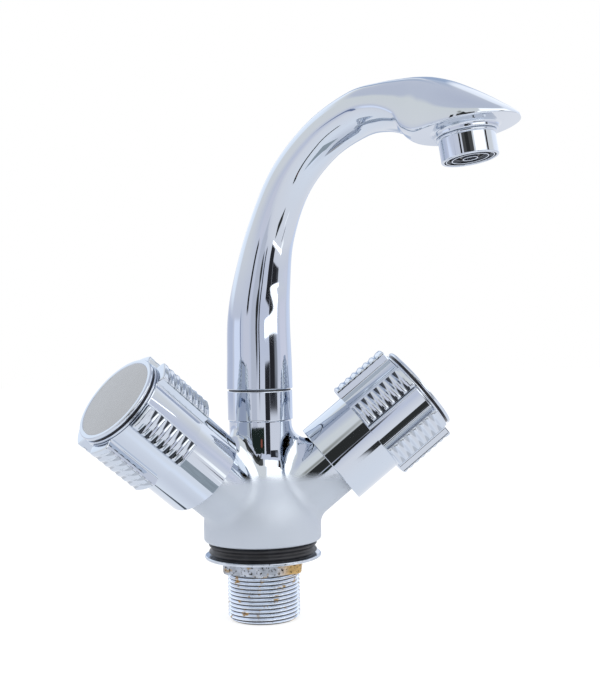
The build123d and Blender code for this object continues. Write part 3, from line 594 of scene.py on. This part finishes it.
def spout_skin(rows=341, above=112, below=48):
    """Rings of the spout: ovals square to the spine, flattened where they pass the bill's plane.

    An oval point is the spine's point + half width * cos(a) across + height * sin(a) along the
    section's upward direction. A point past the plane of the bill's underside moves back to it
    along the plane's normal. The angles bunch up where the oval meets the plane, so that the
    edge is clean.
    """
    reach, height, lean, half_width, top, bottom = station_rows(rows).T
    lean = np.radians(lean)
    spine = reach[:, None] * OUTWARD + height[:, None] * UP
    upward = -np.cos(lean)[:, None] * OUTWARD + np.sin(lean)[:, None] * UP
    depth = -(spine - OUTLET) @ WATER
    steepest = radians(75)
    near_bill = reach > BILL_REACH - BILL_CUT_R
    meets = np.clip(depth / (bottom * -(upward @ WATER)), 0.0, sin(steepest))
    dip = np.where(near_bill, np.arcsin(meets), steepest)[:, None]
    upper = (1 - np.cos(np.linspace(0, pi, above + 1)))[None, :] / 2
    lower = (1 - np.cos(np.linspace(0, pi, below + 1)))[None, 1:-1] / 2
    angle = np.concatenate((-dip + upper * (pi + 2 * dip), pi + dip + lower * (pi - 2 * dip)), axis=1)
    rise = np.where(np.sin(angle) > 0, top[:, None], bottom[:, None]) * np.sin(angle)
    across = half_width[:, None] * np.cos(angle)
    points = spine[:, None] + across[..., None] * ACROSS + rise[..., None] * upward[:, None]
    past = np.maximum((points - OUTLET) @ WATER, 0) * near_bill[:, None]
    return points - past[..., None] * WATER


def build_spout():
    """The spout's skin with its bored foot, and the turned boss for the aerator."""
    skin = spout_skin()
    columns = skin.shape[1]
    middle = SPOUT_STATIONS[0, 1] * UP
    radial = (skin[0] - middle) / SPOUT_STATIONS[0, 3]
    foot = [middle + radial * SPOUT_TAIL_R + UP * SPOUT_TAIL_DEPTH, middle + radial * SPOUT_TAIL_R,
            middle + radial * (SPOUT_STATIONS[0, 3] - FOOT_CHAMFER)]
    skin[0] += UP * FOOT_CHAMFER
    points = np.concatenate((np.stack(foot), skin))
    faces = ring_faces(len(points), columns, False)
    faces.append(list(range(columns)))
    faces.append(list(range((len(points) - 1) * columns, len(points) * columns)))
    make_piece("spout_shell", points.reshape(-1, 3), faces, "chrome_plate", "spout_assembly", ["spout"], 28)
    boss = rounded(((8.8, -2.0), (12.6, -2.0), (12.6, 0.0), (11.3, 0.1), (11.2, BOSS_DROP), (8.8, BOSS_DROP)),
                   (0, 0, 0.1, 1.1, 0.4, 0), 6)
    make_lathe("spout_boss", OUTLET_AXES, boss, "chrome_plate", "spout_assembly", columns=160)


class BasinMixerSpout(bpy.types.Operator):
    """Make the spout's skin and the boss under its bill"""
    bl_idname = "basin_mixer.spout"
    bl_label = "Spout"

    def execute(self, context):
        build_spout()
        return {"FINISHED"}


# Handles and caps

def lobe_outline(corner=1.6, hollow=0.7):
    """Angle and radius round the head: a circle with straight sided lobes.

    Along half a lobe the outline runs over its face, round its corner, down its side, round the
    hollow at its root and on along the circle. The half is mirrored, and repeated for each lobe.
    """
    quarter = np.linspace(0, pi / 2, 8)
    face = np.stack((np.full(5, LOBE_R), np.linspace(0, LOBE_HALF - corner, 6)[:-1]), axis=-1)
    edge = corner * np.stack((np.cos(quarter), np.sin(quarter)), axis=-1) + (LOBE_R - corner, LOBE_HALF - corner)
    root = np.array((sqrt(HEAD_R**2 - LOBE_HALF**2), LOBE_HALF))
    start_angle = atan2(*root[::-1]) + hollow / HEAD_R
    end = HEAD_R * np.array((cos(start_angle), sin(start_angle)))
    bend = np.linspace(0, 1, 6)[:, None]
    inner = (root + (hollow, 0)) * (1 - bend) ** 2 + 2 * root * bend * (1 - bend) + end * bend**2
    rest = np.linspace(start_angle, pi / LOBE_COUNT, 14)[1:]
    circle = HEAD_R * np.stack((np.cos(rest), np.sin(rest)), axis=-1)
    x, y = np.concatenate((face, edge, inner, circle)).T
    radius, angle = np.hypot(x, y), np.arctan2(y, x)
    angle = np.concatenate((angle, 2 * pi / LOBE_COUNT - angle[-2:0:-1]))
    radius = np.concatenate((radius, radius[-2:0:-1]))
    turns = np.arange(LOBE_COUNT)[:, None] * 2 * pi / LOBE_COUNT
    return (turns + angle).ravel(), np.tile(radius, LOBE_COUNT)


def head_radius(outline, above, sizes):
    """Radius of the head at a height above the sleeve: the outline, ribbed, and round at its foot.

    The lobes' faces lie under LOBE_R less a cosine wave of the rib pitch, and a quarter round
    takes in their lower end. The circle itself is left as it is.
    """
    pitch, depth = sizes.rib_pitch / MM, sizes.rib_depth / MM
    wave = depth * (1 - np.cos(2 * pi * (above - RIB_START) / pitch)) / 2
    ribbed = np.where((above > RIB_START) & (above < RIB_START + RIB_COUNT * pitch), wave, 0)
    soft = 1.4
    drawn_in = soft - np.sqrt(np.maximum(soft**2 - np.clip(soft - above, 0, soft) ** 2, 0))
    return np.minimum(outline, np.maximum(LOBE_R - ribbed - drawn_in, HEAD_R))


def build_handle(side, sizes):
    """One handle: sleeve, ribbed head, the recess for the cap and the hub."""
    angle, outline = lobe_outline()
    above = np.linspace(0, HEAD_TOP - SLEEVE_LENGTH - 0.4, 180)
    sleeve = ((SLEEVE_BORE_R, 24.0), (SLEEVE_BORE_R, 0.0), (SLEEVE_R, 0.0), (SLEEVE_R, SLEEVE_LENGTH))
    sleeve = held(rounded(sleeve, 0.35))
    rings = [(np.full_like(outline, r), h) for r, h in sleeve]
    rings += [(head_radius(outline, a, sizes), SLEEVE_LENGTH + a) for a in above]
    top = head_radius(outline, above[-1], sizes)
    rings += [(top - 0.12, HEAD_TOP - 0.12), (top - 0.4, HEAD_TOP)]
    hub = ((CAP_SEAT_R + 0.3, HEAD_TOP), (CAP_SEAT_R + 0.1, HEAD_TOP - 0.1), (CAP_SEAT_R + 0.1, HEAD_TOP - 4),
           (HUB_R, HEAD_TOP - 4), (HUB_R, 34.0), (SCREW_BORE_R, 34.0), (SCREW_BORE_R, 32.0), (HUB_BORE_R, 32.0),
           (HUB_BORE_R, 24.0))
    rings += [(np.full_like(outline, r), h) for r, h in hub]
    radius = np.stack([r for r, _ in rings])
    height = np.array([h for _, h in rings])[:, None]
    points = polar(arm_axes(side, HANDLE_ROLL[side], HANDLE_RIM), radius, angle, height)
    make_rings(f"{side}_handle_grip", points, "chrome_plate", f"{side}_handle_assembly", [f"{side}_handle"])


def build_cap(side):
    """One cap: a domed satin face in a bright rim, and a near-black ring in the rim's groove, a painted shadow that
    makes the groove look deeper.
    """
    axes = arm_axes(side, 0, HANDLE_RIM + HEAD_TOP)
    body = f"{side}_handle_assembly"
    out = np.linspace(0, CAP_FACE_R, 16)
    face = np.stack((out, CAP_HEIGHT - 0.1 - 0.35 * (out / CAP_FACE_R) ** 2), axis=-1)
    face = np.concatenate((face, ((15.9, 2.8), (15.9, 1.2), (0.0, 1.2))))
    make_lathe(f"{side}_cap_face", axes, face, "satin_chrome", body, [f"{side}_handle_cap"], 160)
    rim = rounded(
        ((13.6, 1.3), (15.6, 1.3), (15.6, 2.7), (15.9, 3.1), (17.2, 3.1), (17.6, 2.7), (17.6, 1.9),
         (16.4, 1.8), (16.4, 1.0), (17.7, 0.9), (17.7, 0.1), (15.0, 0.0), (15.0, -2.8), (13.6, -2.8)),
        (0, 0, 0.1, 0.25, 0.3, 0.3, 0.2, 0.1, 0.1, 0.3, 0.2, 0.1, 0.2, 0), 4)
    make_lathe(f"{side}_cap_rim", axes, rim, "chrome_plate", body, columns=160)
    # A near-black ring in the rim's groove: painted shadow
    groove = ((16.3, 0.92), (17.0, 0.92), (17.0, 1.85), (16.3, 1.85))
    make_lathe(f"{side}_cap_groove", axes, groove, "chrome_plate", body, columns=160)


class BasinMixerHandles(bpy.types.Operator):
    """Make the ribbed handles and their caps"""
    bl_idname = "basin_mixer.handles"
    bl_label = "Handles"

    def execute(self, context):
        for side in SIDE_SIGN:
            build_handle(side, context.scene.basin_mixer_sizes)
            build_cap(side)
        return {"FINISHED"}


# Collar and aerator

def build_collar():
    """The screwed ring under the spout, with its edges eased."""
    profile = rounded(((8.5, 59.4), (10.8, 59.4), (10.8, 52.0), (12.6, 52.0), (12.6, 63.4), (8.5, 63.4)),
                      (0, 0.1, 0.1, 0.4, 0.4, 0.1), 5)
    make_lathe("collar_ring", TAP_AXES, profile, "chrome_plate", "body", ["spout_collar"], 160)


def build_aerator():
    """The aerator's flanged housing and the insert with its rings and spokes."""
    mouth = BOSS_DROP + AERATOR_HEIGHT
    shell = rounded(
        ((7.4, -2.5), (8.7, -2.5), (8.7, BOSS_DROP), (10.6, BOSS_DROP + 0.02), (10.6, BOSS_DROP + 1.0),
         (10.0, BOSS_DROP + 1.1), (10.0, mouth), (9.0, mouth), (9.0, mouth - 5.6), (7.4, mouth - 5.6)),
        (0, 0, 0, 0.35, 0.35, 0.1, 0.45, 0.25, 0, 0), 5)
    make_lathe("aerator_shell", OUTLET_AXES, shell, "chrome_plate", "spout_assembly", ["aerator_housing"], 160)

    low, high = mouth - 2.0, mouth - 0.15
    for label, at in (("outer", 8.35), ("middle", 6.3), ("inner", 2.5)):
        ring = rounded(((at - 0.22, low), (at - 0.22, high), (at + 0.22, high), (at + 0.22, low)), 0.12)
        make_lathe(f"aerator_ring_{label}", OUTLET_AXES, ring, "chrome_plate", "spout_assembly")

    radius = np.linspace(0.6, 9.0, 85)[:, None]
    angle = np.linspace(0, 2 * pi, 240, endpoint=False)[None, :]
    ring = 0.5 + 0.5 * np.cos(2 * pi * (radius - 0.6) / 2.4)
    spokes = np.exp(-((radius * np.sin(3 * angle) / 3 / 0.35) ** 2))
    web = np.maximum(np.clip((ring - 0.45) * 6, 0, 1), spokes)
    face = polar(OUTLET_AXES, radius, angle, mouth - 2.7 + 1.6 * web)
    back = polar(OUTLET_AXES, np.array((9.0, 0.6))[:, None], angle, np.full((2, 1), mouth - 4.8))
    make_rings("aerator_grille", np.concatenate((face, back)), "aerator_plastic", "spout_assembly",
               ["aerator_insert"])


class BasinMixerOutlet(bpy.types.Operator):
    """Make the spout's collar and the aerator"""
    bl_idname = "basin_mixer.outlet"
    bl_label = "Collar and aerator"

    def execute(self, context):
        build_collar()
        build_aerator()
        return {"FINISHED"}


# Shank, seal and backnut

def build_shank(sizes):
    """The hollow shank with its fine thread.

    The radius is the crest less a cosine wave of (height / pitch - turn), and the first turn is
    drawn in to the end's chamfer.
    """
    pitch, depth = sizes.thread_pitch / MM, sizes.thread_depth / MM
    height = np.linspace(-SHANK_DROP, -1.0, 16 * 14 + 1)[:, None]
    angle = np.linspace(0, 2 * pi, 144, endpoint=False)[None, :]
    wave = (1 - np.cos(2 * pi * (height / pitch - angle / (2 * pi)))) / 2
    radius = np.minimum(SHANK_R - depth * wave, SHANK_R - 1.3 + np.clip(height + SHANK_DROP, 0, 2))
    outer = polar(TAP_AXES, radius, angle, height)
    inner = np.array(((SHANK_R, -1.0), (SHANK_R, SEAL_THICKNESS), (SPIGOT_R, SEAL_THICKNESS),
                      (SPIGOT_R, SPIGOT_TOP), (SHANK_BORE_R, SPIGOT_TOP), (SHANK_BORE_R, -SHANK_DROP)))
    inner = polar(TAP_AXES, inner[:, :1], angle, inner[:, 1:])
    make_rings("shank_thread", np.concatenate((outer, inner)), "plated_thread", "body", ["mounting_shank"], 70)


def build_seal():
    """The rubber seal with two soft ridges round its edge."""
    wall = np.linspace(0, SEAL_THICKNESS, 60)
    ridge = SEAL_VALLEY_R + SEAL_RIDGE * np.sin(pi * np.clip(wall / SEAL_THICKNESS, 0, 1) * 2) ** 2
    profile = np.concatenate((((SEAL_BORE_R, 0.0),), np.stack((ridge, wall), axis=-1),
                              ((SEAL_BORE_R, SEAL_THICKNESS),)))
    make_lathe("deck_seal_ring", TAP_AXES, profile, "black_rubber", "body", ["deck_seal"], 160)


def build_backnut():
    """The rough cast backnut.

    Its outline is half the flats over cos(angle from the nearest flat's middle), capped at the
    rounded corners, and the surface is shifted by a few sine waves as a sand casting is.
    """
    angle = np.linspace(0, 2 * pi, 360, endpoint=False)[None, :]
    from_flat = (angle - BACKNUT_TURN) % radians(60) - radians(30)
    outline = np.minimum(BACKNUT_HALF_FLATS / np.cos(from_flat), BACKNUT_CORNER_R)
    bore = np.full_like(outline, SHANK_R)
    low = BACKNUT_TOP - BACKNUT_THICKNESS
    levels = np.linspace(BACKNUT_TOP - 0.4, low + 1.0, 16)
    rows = [(bore, BACKNUT_TOP), (outline - 0.5, BACKNUT_TOP)]
    rows += [(outline, h) for h in levels]
    rows += [(outline - 0.35, low + 0.35), (outline - 1.1, low), (bore, low)]
    radius = np.concatenate([r for r, _ in rows])
    height = np.array([h for _, h in rows])[:, None]
    rough = (np.sin(angle * 41 + height * 3.1) * np.sin(angle * 17 - height * 4.3)
             + 0.7 * np.sin(angle * 67 + height * 7.7) + 0.5 * np.sin(angle * 97 - height * 9.1))
    radius = np.where(radius > SHANK_R + 0.5, radius + CAST_ROUGHNESS * rough, radius)
    points = polar(TAP_AXES, radius, angle, height)
    make_rings("cast_backnut", points, "cast_brass", "body", ["backnut"])


class BasinMixerMount(bpy.types.Operator):
    """Make the threaded shank, the seal and the backnut"""
    bl_idname = "basin_mixer.mount"
    bl_label = "Shank, seal and backnut"

    def execute(self, context):
        build_shank(context.scene.basin_mixer_sizes)
        build_seal()
        build_backnut()
        return {"FINISHED"}


# Studio

def build_camera(studio):
    """The camera, with its axes worked out from azimuth, pitch and roll."""
    turn, pitch, roll = studio.camera_azimuth, studio.camera_pitch, studio.camera_roll
    back = Vector((sin(turn) * cos(pitch), -cos(turn) * cos(pitch), sin(pitch)))
    level = Vector((cos(turn), sin(turn), 0))
    upright = back.cross(level)
    right = level * cos(roll) - upright * sin(roll)
    up = level * sin(roll) + upright * cos(roll)
    data = bpy.data.cameras.new("studio_camera")
    data.lens = studio.camera_lens
    data.clip_start = 0.01
    camera = placed("studio_camera", data)
    turned = Matrix((right, up, back)).transposed().to_4x4()
    camera.matrix_world = Matrix.Translation(Vector(studio.camera_place)) @ turned
    bpy.context.scene.camera = camera


# What the metal mirrors. Directions are in degrees: azimuth to the right of the camera's place as
# seen from the tap, and elevation above level.
SKY_BASE = (
    (-90, (0.80, 0.83, 0.90)), (-76, (0.93, 0.96, 1.03)), (-60, (1.03, 1.07, 1.13)), (-12, (1.0, 1.0, 1.03)),
    (-4, (0.90, 0.91, 0.97)), (3, (0.78, 0.81, 0.93)), (9, (0.82, 0.84, 0.93)), (18, (0.96, 0.96, 0.95)),
    (45, (0.95, 0.96, 0.93)), (52, (0.74, 0.77, 0.86)), (90, (0.70, 0.73, 0.84)),
)
# Each panel is a centre, half sizes, the turn of its long side, the softness of its edge and a colour
PANELS = (
    ((154, 28), (58, 24), 0, 0.3, (1.14, 1.18, 1.26)),
    ((-150, 25), (40, 20), 0, 0.3, (1.10, 1.18, 1.28)),
    ((145, 1), (24, 9), 0, 0.4, (0.84, 0.92, 1.10)),
    ((100, 3), (22, 7), 0, 0.5, (0.93, 0.92, 1.02)),
    ((-128, 1), (27, 6), 0, 0.4, (0.67, 0.72, 0.87)),
    ((-84, 1), (16, 6), 0, 0.3, (1.02, 1.08, 1.24)),
    ((-44, 2), (16, 7), 0, 0.5, (0.86, 0.86, 0.95)),
    ((28, -66), (18, 11), -20, 0.9, (1.07, 1.13, 1.24)),
    ((64.5, -19.5), (1.1, 5), 40, 0.4, (0.12, 0.12, 0.15)),
    ((70, -13), (3.6, 6), 40, 0.3, (1.5, 1.5, 1.46)),
    ((-139, -58), (3.5, 9), 10, 0.4, (0.08, 0.10, 0.12)),
    ((-67, 0), (1.6, 9), 0, 0.4, (0.22, 0.27, 0.42)),
    ((-18, 2), (11, 9), 0, 0.3, (0.70, 0.72, 0.80)),
    ((1.6, 2), (2.2, 6), 0, 0.4, (0.02, 0.02, 0.02)),
    ((52, 1), (15, 5.0), 0, 0.12, (0.03, 0.03, 0.035)),
    ((29, -4), (9, 5.5), 0, 0.12, (0.03, 0.03, 0.035)),
    ((63, 1), (9, 5.0), 0, 0.8, (0.34, 0.36, 0.40)),
    ((-12, 15.5), (22, 7), 0, 0.12, (0.09, 0.09, 0.085)),
    ((-42, 14), (3.5, 8), 0, 0.2, (0.03, 0.03, 0.03)),
    ((39, 17), (25, 7), 0, 0.12, (1.75, 1.75, 1.72)),
    ((71, 17), (4.5, 7), 0, 0.2, (0.03, 0.02, 0.02)),
    ((-12.5, 15), (16, 6.5), -49, 0.2, (0.035, 0.036, 0.034)),
    ((-27, 30), (9, 8), -49, 0.9, (0.40, 0.40, 0.36)),
    ((29.5, -21.5), (7.5, 3.6), -41, 0.12, (0.04, 0.042, 0.04)),
    ((62, 35), (44, 11), 0, 0.14, (1.75, 1.75, 1.72)),
    ((60.5, -26), (1.2, 5), 40, 0.5, (1.5, 1.5, 1.48)),
    ((172, 20), (9, 45), 0, 0.6, (0.42, 0.52, 0.70)),
    ((-174, 20), (6, 45), 0, 0.6, (0.42, 0.52, 0.70)),
)
# Curved cards that stand beside the tap, seen only by the metal: centre in millimetres, radius, first
# and last azimuth as above, heights of the lower and the upper edge at both ends, and a colour
STANDING_CARDS = {
    "neck": ((0, 0), 150, -36, 15, (25, 25), (39, 39), (0.02, 0.03, 0.025)),
    "neck_streak": ((0, 0), 149, 2, 8, (29, 29), (33, 33), (0.34, 0.10, 0.07)),
}
# A grey card that lies on the floor, as four corners in millimetres and a colour
LYING_CARD = ((4, -46), (34, -68), (8, -150), (-38, -105)), (0.42, 0.48, 0.52)
LYING_CARD_LIFT = 0.4

# Floor and lamps, with their sizes in metres
FLOOR_HALF = 2.5
FLOOR_GAP = 0.0002
FLOOR_SHADED = (0.42, 0.42, 0.42)
FLOOR_GLOW = 0.72
LAMP_SIZE = (0.9, 0.7)
STRIP_RADIANCE = 1.8
STRIP_SIZE = (0.122, 0.0042)
STRIP_TURN = radians(45)
STRIP_DISTANCE = 0.137
STRIP_HEIGHT = 0.0936


def panel_group():
    """A mask over directions: a turned rectangle with soft edges.

    The direction is moved to the rectangle's centre, turned, and divided by its half sizes. The
    mask goes from nought at one to one at one less the softness, on both sides.
    """
    level = (0.0, 0.0, 0.0)
    group, given = new_group("studio_panel", {
        "Direction": level, "Centre": level, "Turn": level, "Half size": (1.0, 1.0, 1.0), "Inner": 0.9}, "Mask")
    inside = add_node(group, "ShaderNodeMapping", given["Direction"], given["Centre"], given["Turn"],
                      given["Half size"], vector_type="TEXTURE")
    size = add_node(group, "ShaderNodeVectorMath", inside.outputs["Vector"], operation="ABSOLUTE")
    parts = add_node(group, "ShaderNodeSeparateXYZ", size.outputs["Vector"])
    edges = [ramp(group, parts.outputs[axis], 1.0, given["Inner"], interpolation_type="SMOOTHSTEP") for axis in "XY"]
    add_node(group, "NodeGroupOutput", Mask=math_node(group, "MULTIPLY", *edges))
    return group


def mirrored_studio(tree, azimuth):
    """The colour that the metal mirrors in each direction: a pale surround with panels on it."""
    place = add_node(tree, "ShaderNodeTexCoord")
    parts = add_node(tree, "ShaderNodeSeparateXYZ", Vector=place.outputs["Generated"])
    front = math_node(tree, "MULTIPLY", parts.outputs["Y"], -1.0)
    turn = math_node(tree, "DEGREES", math_node(tree, "ARCTAN2", parts.outputs["X"], front))
    turn = math_node(tree, "SUBTRACT", turn, degrees(azimuth))
    around = math_node(tree, "WRAP", turn, 180.0, -180.0)
    height = math_node(tree, "DEGREES", math_node(tree, "ARCSINE", parts.outputs["Z"]))
    direction = add_node(tree, "ShaderNodeCombineXYZ", X=around, Y=height)

    base = add_node(tree, "ShaderNodeValToRGB", Fac=ramp(tree, height, -90, 90))
    stops = base.color_ramp.elements
    while len(stops) < len(SKY_BASE):
        stops.new(0.5)
    for stop, (elevation, colour) in zip(stops, SKY_BASE):
        stop.position = (elevation + 90) / 180
        stop.color = (*colour, 1)
    colour = base.outputs["Color"]
    group = panel_group()
    for centre, half, angle, soft, paint in PANELS:
        panel = place_group(tree, group, Direction=direction.outputs[0], Centre=(*centre, 0),
                            Turn=(0, 0, radians(angle)), Inner=1 - soft, **{"Half size": (*half, 1)})
        colour = mixed(tree, panel.outputs["Mask"], colour, (*paint, 1))
    return colour


def build_world(studio):
    """White for the camera, a studio with panels for the metal, and a soft pale light for the rest."""
    world = bpy.data.worlds.new("white_studio")
    bpy.context.scene.world = world
    tree = cleared_tree(world)
    white = add_node(tree, "ShaderNodeBackground", Color=(1, 1, 1, 1), Strength=1)
    mirrored = add_node(tree, "ShaderNodeBackground", Strength=1, Color=mirrored_studio(tree, studio.camera_azimuth))
    light = add_node(tree, "ShaderNodeBackground", Color=(0.93, 0.96, 1, 1), Strength=0.8)
    rays = add_node(tree, "ShaderNodeLightPath").outputs
    metal = add_node(tree, "ShaderNodeMixShader", rays["Is Glossy Ray"], light.outputs[0], mirrored.outputs[0])
    straight = math_node(tree, "MAXIMUM", rays["Is Camera Ray"], rays["Is Transmission Ray"])
    seen = add_node(tree, "ShaderNodeMixShader", straight, metal.outputs[0], white.outputs[0])
    add_node(tree, "ShaderNodeOutputWorld", Surface=seen.outputs[0])


def stage_mesh(name, points, faces, material):
    """A stage object from points in metres and faces."""
    mesh = bpy.data.meshes.new(name)
    mesh.from_pydata([tuple(p) for p in points], [], faces)
    mesh.materials.append(material)
    obj = placed(name, mesh)
    return obj


def build_floor(studio):
    """The floor: matte and pale, with a glow that only the camera sees, so that it reads as white
    and still holds the tap's shadow. The metal doesn't mirror it."""
    material = bpy.data.materials.new("studio_floor")
    tree = cleared_tree(material)
    matte = add_node(tree, "ShaderNodeBsdfDiffuse", Color=(*studio.floor_colour, 1))
    shaded = add_node(tree, "ShaderNodeBsdfDiffuse", Color=(*FLOOR_SHADED, 1))
    glow = add_node(tree, "ShaderNodeEmission", Strength=FLOOR_GLOW)
    bright = add_node(tree, "ShaderNodeAddShader", shaded.outputs[0], glow.outputs[0])
    rays = add_node(tree, "ShaderNodeLightPath").outputs
    seen = math_node(tree, "MAXIMUM", rays["Is Camera Ray"], rays["Is Glossy Ray"])
    seen = math_node(tree, "MAXIMUM", seen, rays["Is Transmission Ray"])
    mix = add_node(tree, "ShaderNodeMixShader", seen, matte.outputs[0], bright.outputs[0])
    add_node(tree, "ShaderNodeOutputMaterial", Surface=mix.outputs[0])
    half, level = FLOOR_HALF, -SHANK_DROP * MM - FLOOR_GAP
    corners = ((-half, -half, level), (half, -half, level), (half, half, level), (-half, half, level))
    floor = stage_mesh("studio_floor", corners, [(0, 1, 2, 3)], material)
    floor.visible_glossy = False


def area_lamp(name, size, power, place, outward, mirrored):
    """A rectangular lamp that faces against its outward direction, unseen by the camera."""
    data = bpy.data.lights.new(name, "AREA")
    data.shape = "RECTANGLE"
    data.size, data.size_y = size
    data.energy = power
    lamp = placed(name, data)
    lamp.matrix_world = Matrix.Translation(place) @ outward.to_track_quat("Z", "Y").to_matrix().to_4x4()
    lamp.visible_glossy = mirrored
    lamp.visible_camera = False


def build_lamps(studio):
    """Two broad soft lamps, high on either side of the camera, and a weak strip lamp level with the
    spout, which the metal shows as a small white window."""
    for name, turn, height in (("lamp_left", -60, 0.9), ("lamp_right", 50, 0.8)):
        angle = studio.camera_azimuth + radians(turn)
        place = Vector((sin(angle), -cos(angle), height))
        area_lamp(name, LAMP_SIZE, studio.lamp_power, place, place, False)
    angle = studio.camera_azimuth + STRIP_TURN
    outward = Vector((sin(angle), -cos(angle), 0))
    place = outward * STRIP_DISTANCE + Vector((0, 0, STRIP_HEIGHT))
    power = STRIP_RADIANCE * pi * STRIP_SIZE[0] * STRIP_SIZE[1]
    area_lamp("lamp_strip", STRIP_SIZE, power, place, outward, True)


def card_points(studio, centre, radius, first, last, low, high):
    """The corners of a standing card: its lower edge and then its upper edge, in millimetres."""
    share = np.linspace(0, 1, 13)
    angle = np.radians(first + (last - first) * share) + studio.camera_azimuth
    x, y = centre[0] + radius * np.sin(angle), centre[1] - radius * np.cos(angle)
    return [edge for heights in (low, high) for edge in zip(x, y, heights[0] + (heights[1] - heights[0]) * share)]


def build_cards(studio):
    """Small glowing cards beside the tap that only the metal sees."""
    cards = {}
    for name, (*place, colour) in STANDING_CARDS.items():
        points = card_points(studio, *place)
        half = len(points) // 2
        cards[name] = points, [(k, k + 1, half + k + 1, half + k) for k in range(half - 1)], colour
    corners, colour = LYING_CARD
    cards["lying"] = [(x, y, -SHANK_DROP + LYING_CARD_LIFT) for x, y in corners], [(0, 1, 2, 3)], colour
    for name, (points, faces, colour) in cards.items():
        material = bpy.data.materials.new(f"card_{name}")
        tree = cleared_tree(material)
        tint = place_group(tree, bpy.data.node_groups["tint"], Scale=150.0, First=(*colour, 1),
                           Second=(*shade(colour, 0.85), 1))
        glow = add_node(tree, "ShaderNodeEmission", Strength=1, Color=tint.outputs["Colour"])
        add_node(tree, "ShaderNodeOutputMaterial", Surface=glow.outputs[0])
        card = stage_mesh(f"card_{name}", np.array(points) * MM, faces, material)
        card.visible_camera = card.visible_diffuse = card.visible_shadow = card.visible_transmission = False


class BasinMixerStage(bpy.types.Operator):
    """Set the floor, the surround, the light and the camera"""
    bl_idname = "basin_mixer.stage"
    bl_label = "Studio"

    def execute(self, context):
        studio = context.scene.basin_mixer_studio
        build_camera(studio)
        build_world(studio)
        build_floor(studio)
        build_lamps(studio)
        build_cards(studio)
        context.scene.view_settings.view_transform = "Standard"
        return {"FINISHED"}


class BasinMixerPanel(bpy.types.Panel):
    """Sizes, colours and steps of the tap's scene"""
    bl_label = "Basin mixer"
    bl_idname = "VIEW3D_PT_basin_mixer"
    bl_space_type = "VIEW_3D"
    bl_region_type = "UI"
    bl_category = "Basin mixer"

    def draw(self, context):
        layout = self.layout
        scene = context.scene
        for group in (scene.basin_mixer_sizes, scene.basin_mixer_finish, scene.basin_mixer_studio):
            for name in group.bl_rna.properties.keys():
                if name not in ("rna_type", "name"):
                    layout.prop(group, name)
        for step in STEPS:
            layout.operator(step.bl_idname)


GROUPS = {"basin_mixer_sizes": BasinMixerSizes, "basin_mixer_finish": BasinMixerFinish,
          "basin_mixer_studio": BasinMixerStudio}
STEPS = (BasinMixerFinishes, BasinMixerSpout, BasinMixerHandles, BasinMixerOutlet, BasinMixerMount,
         BasinMixerStage)


def register():
    """Add the classes and their settings to Blender."""
    for cls in (*GROUPS.values(), *STEPS, BasinMixerPanel):
        bpy.utils.register_class(cls)
    for name, cls in GROUPS.items():
        setattr(bpy.types.Scene, name, bpy.props.PointerProperty(type=cls))


def unregister():
    """Take the classes and their settings out again."""
    for name in GROUPS:
        delattr(bpy.types.Scene, name)
    for cls in reversed((*GROUPS.values(), *STEPS, BasinMixerPanel)):
        bpy.utils.unregister_class(cls)


def main():
    """Dress the tap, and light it."""
    register()
    bpy.ops.basin_mixer.finishes()
    bpy.ops.basin_mixer.spout()
    bpy.ops.basin_mixer.handles()
    bpy.ops.basin_mixer.outlet()
    bpy.ops.basin_mixer.mount()
    bpy.ops.basin_mixer.stage()


if __name__ == "__main__":
    main()
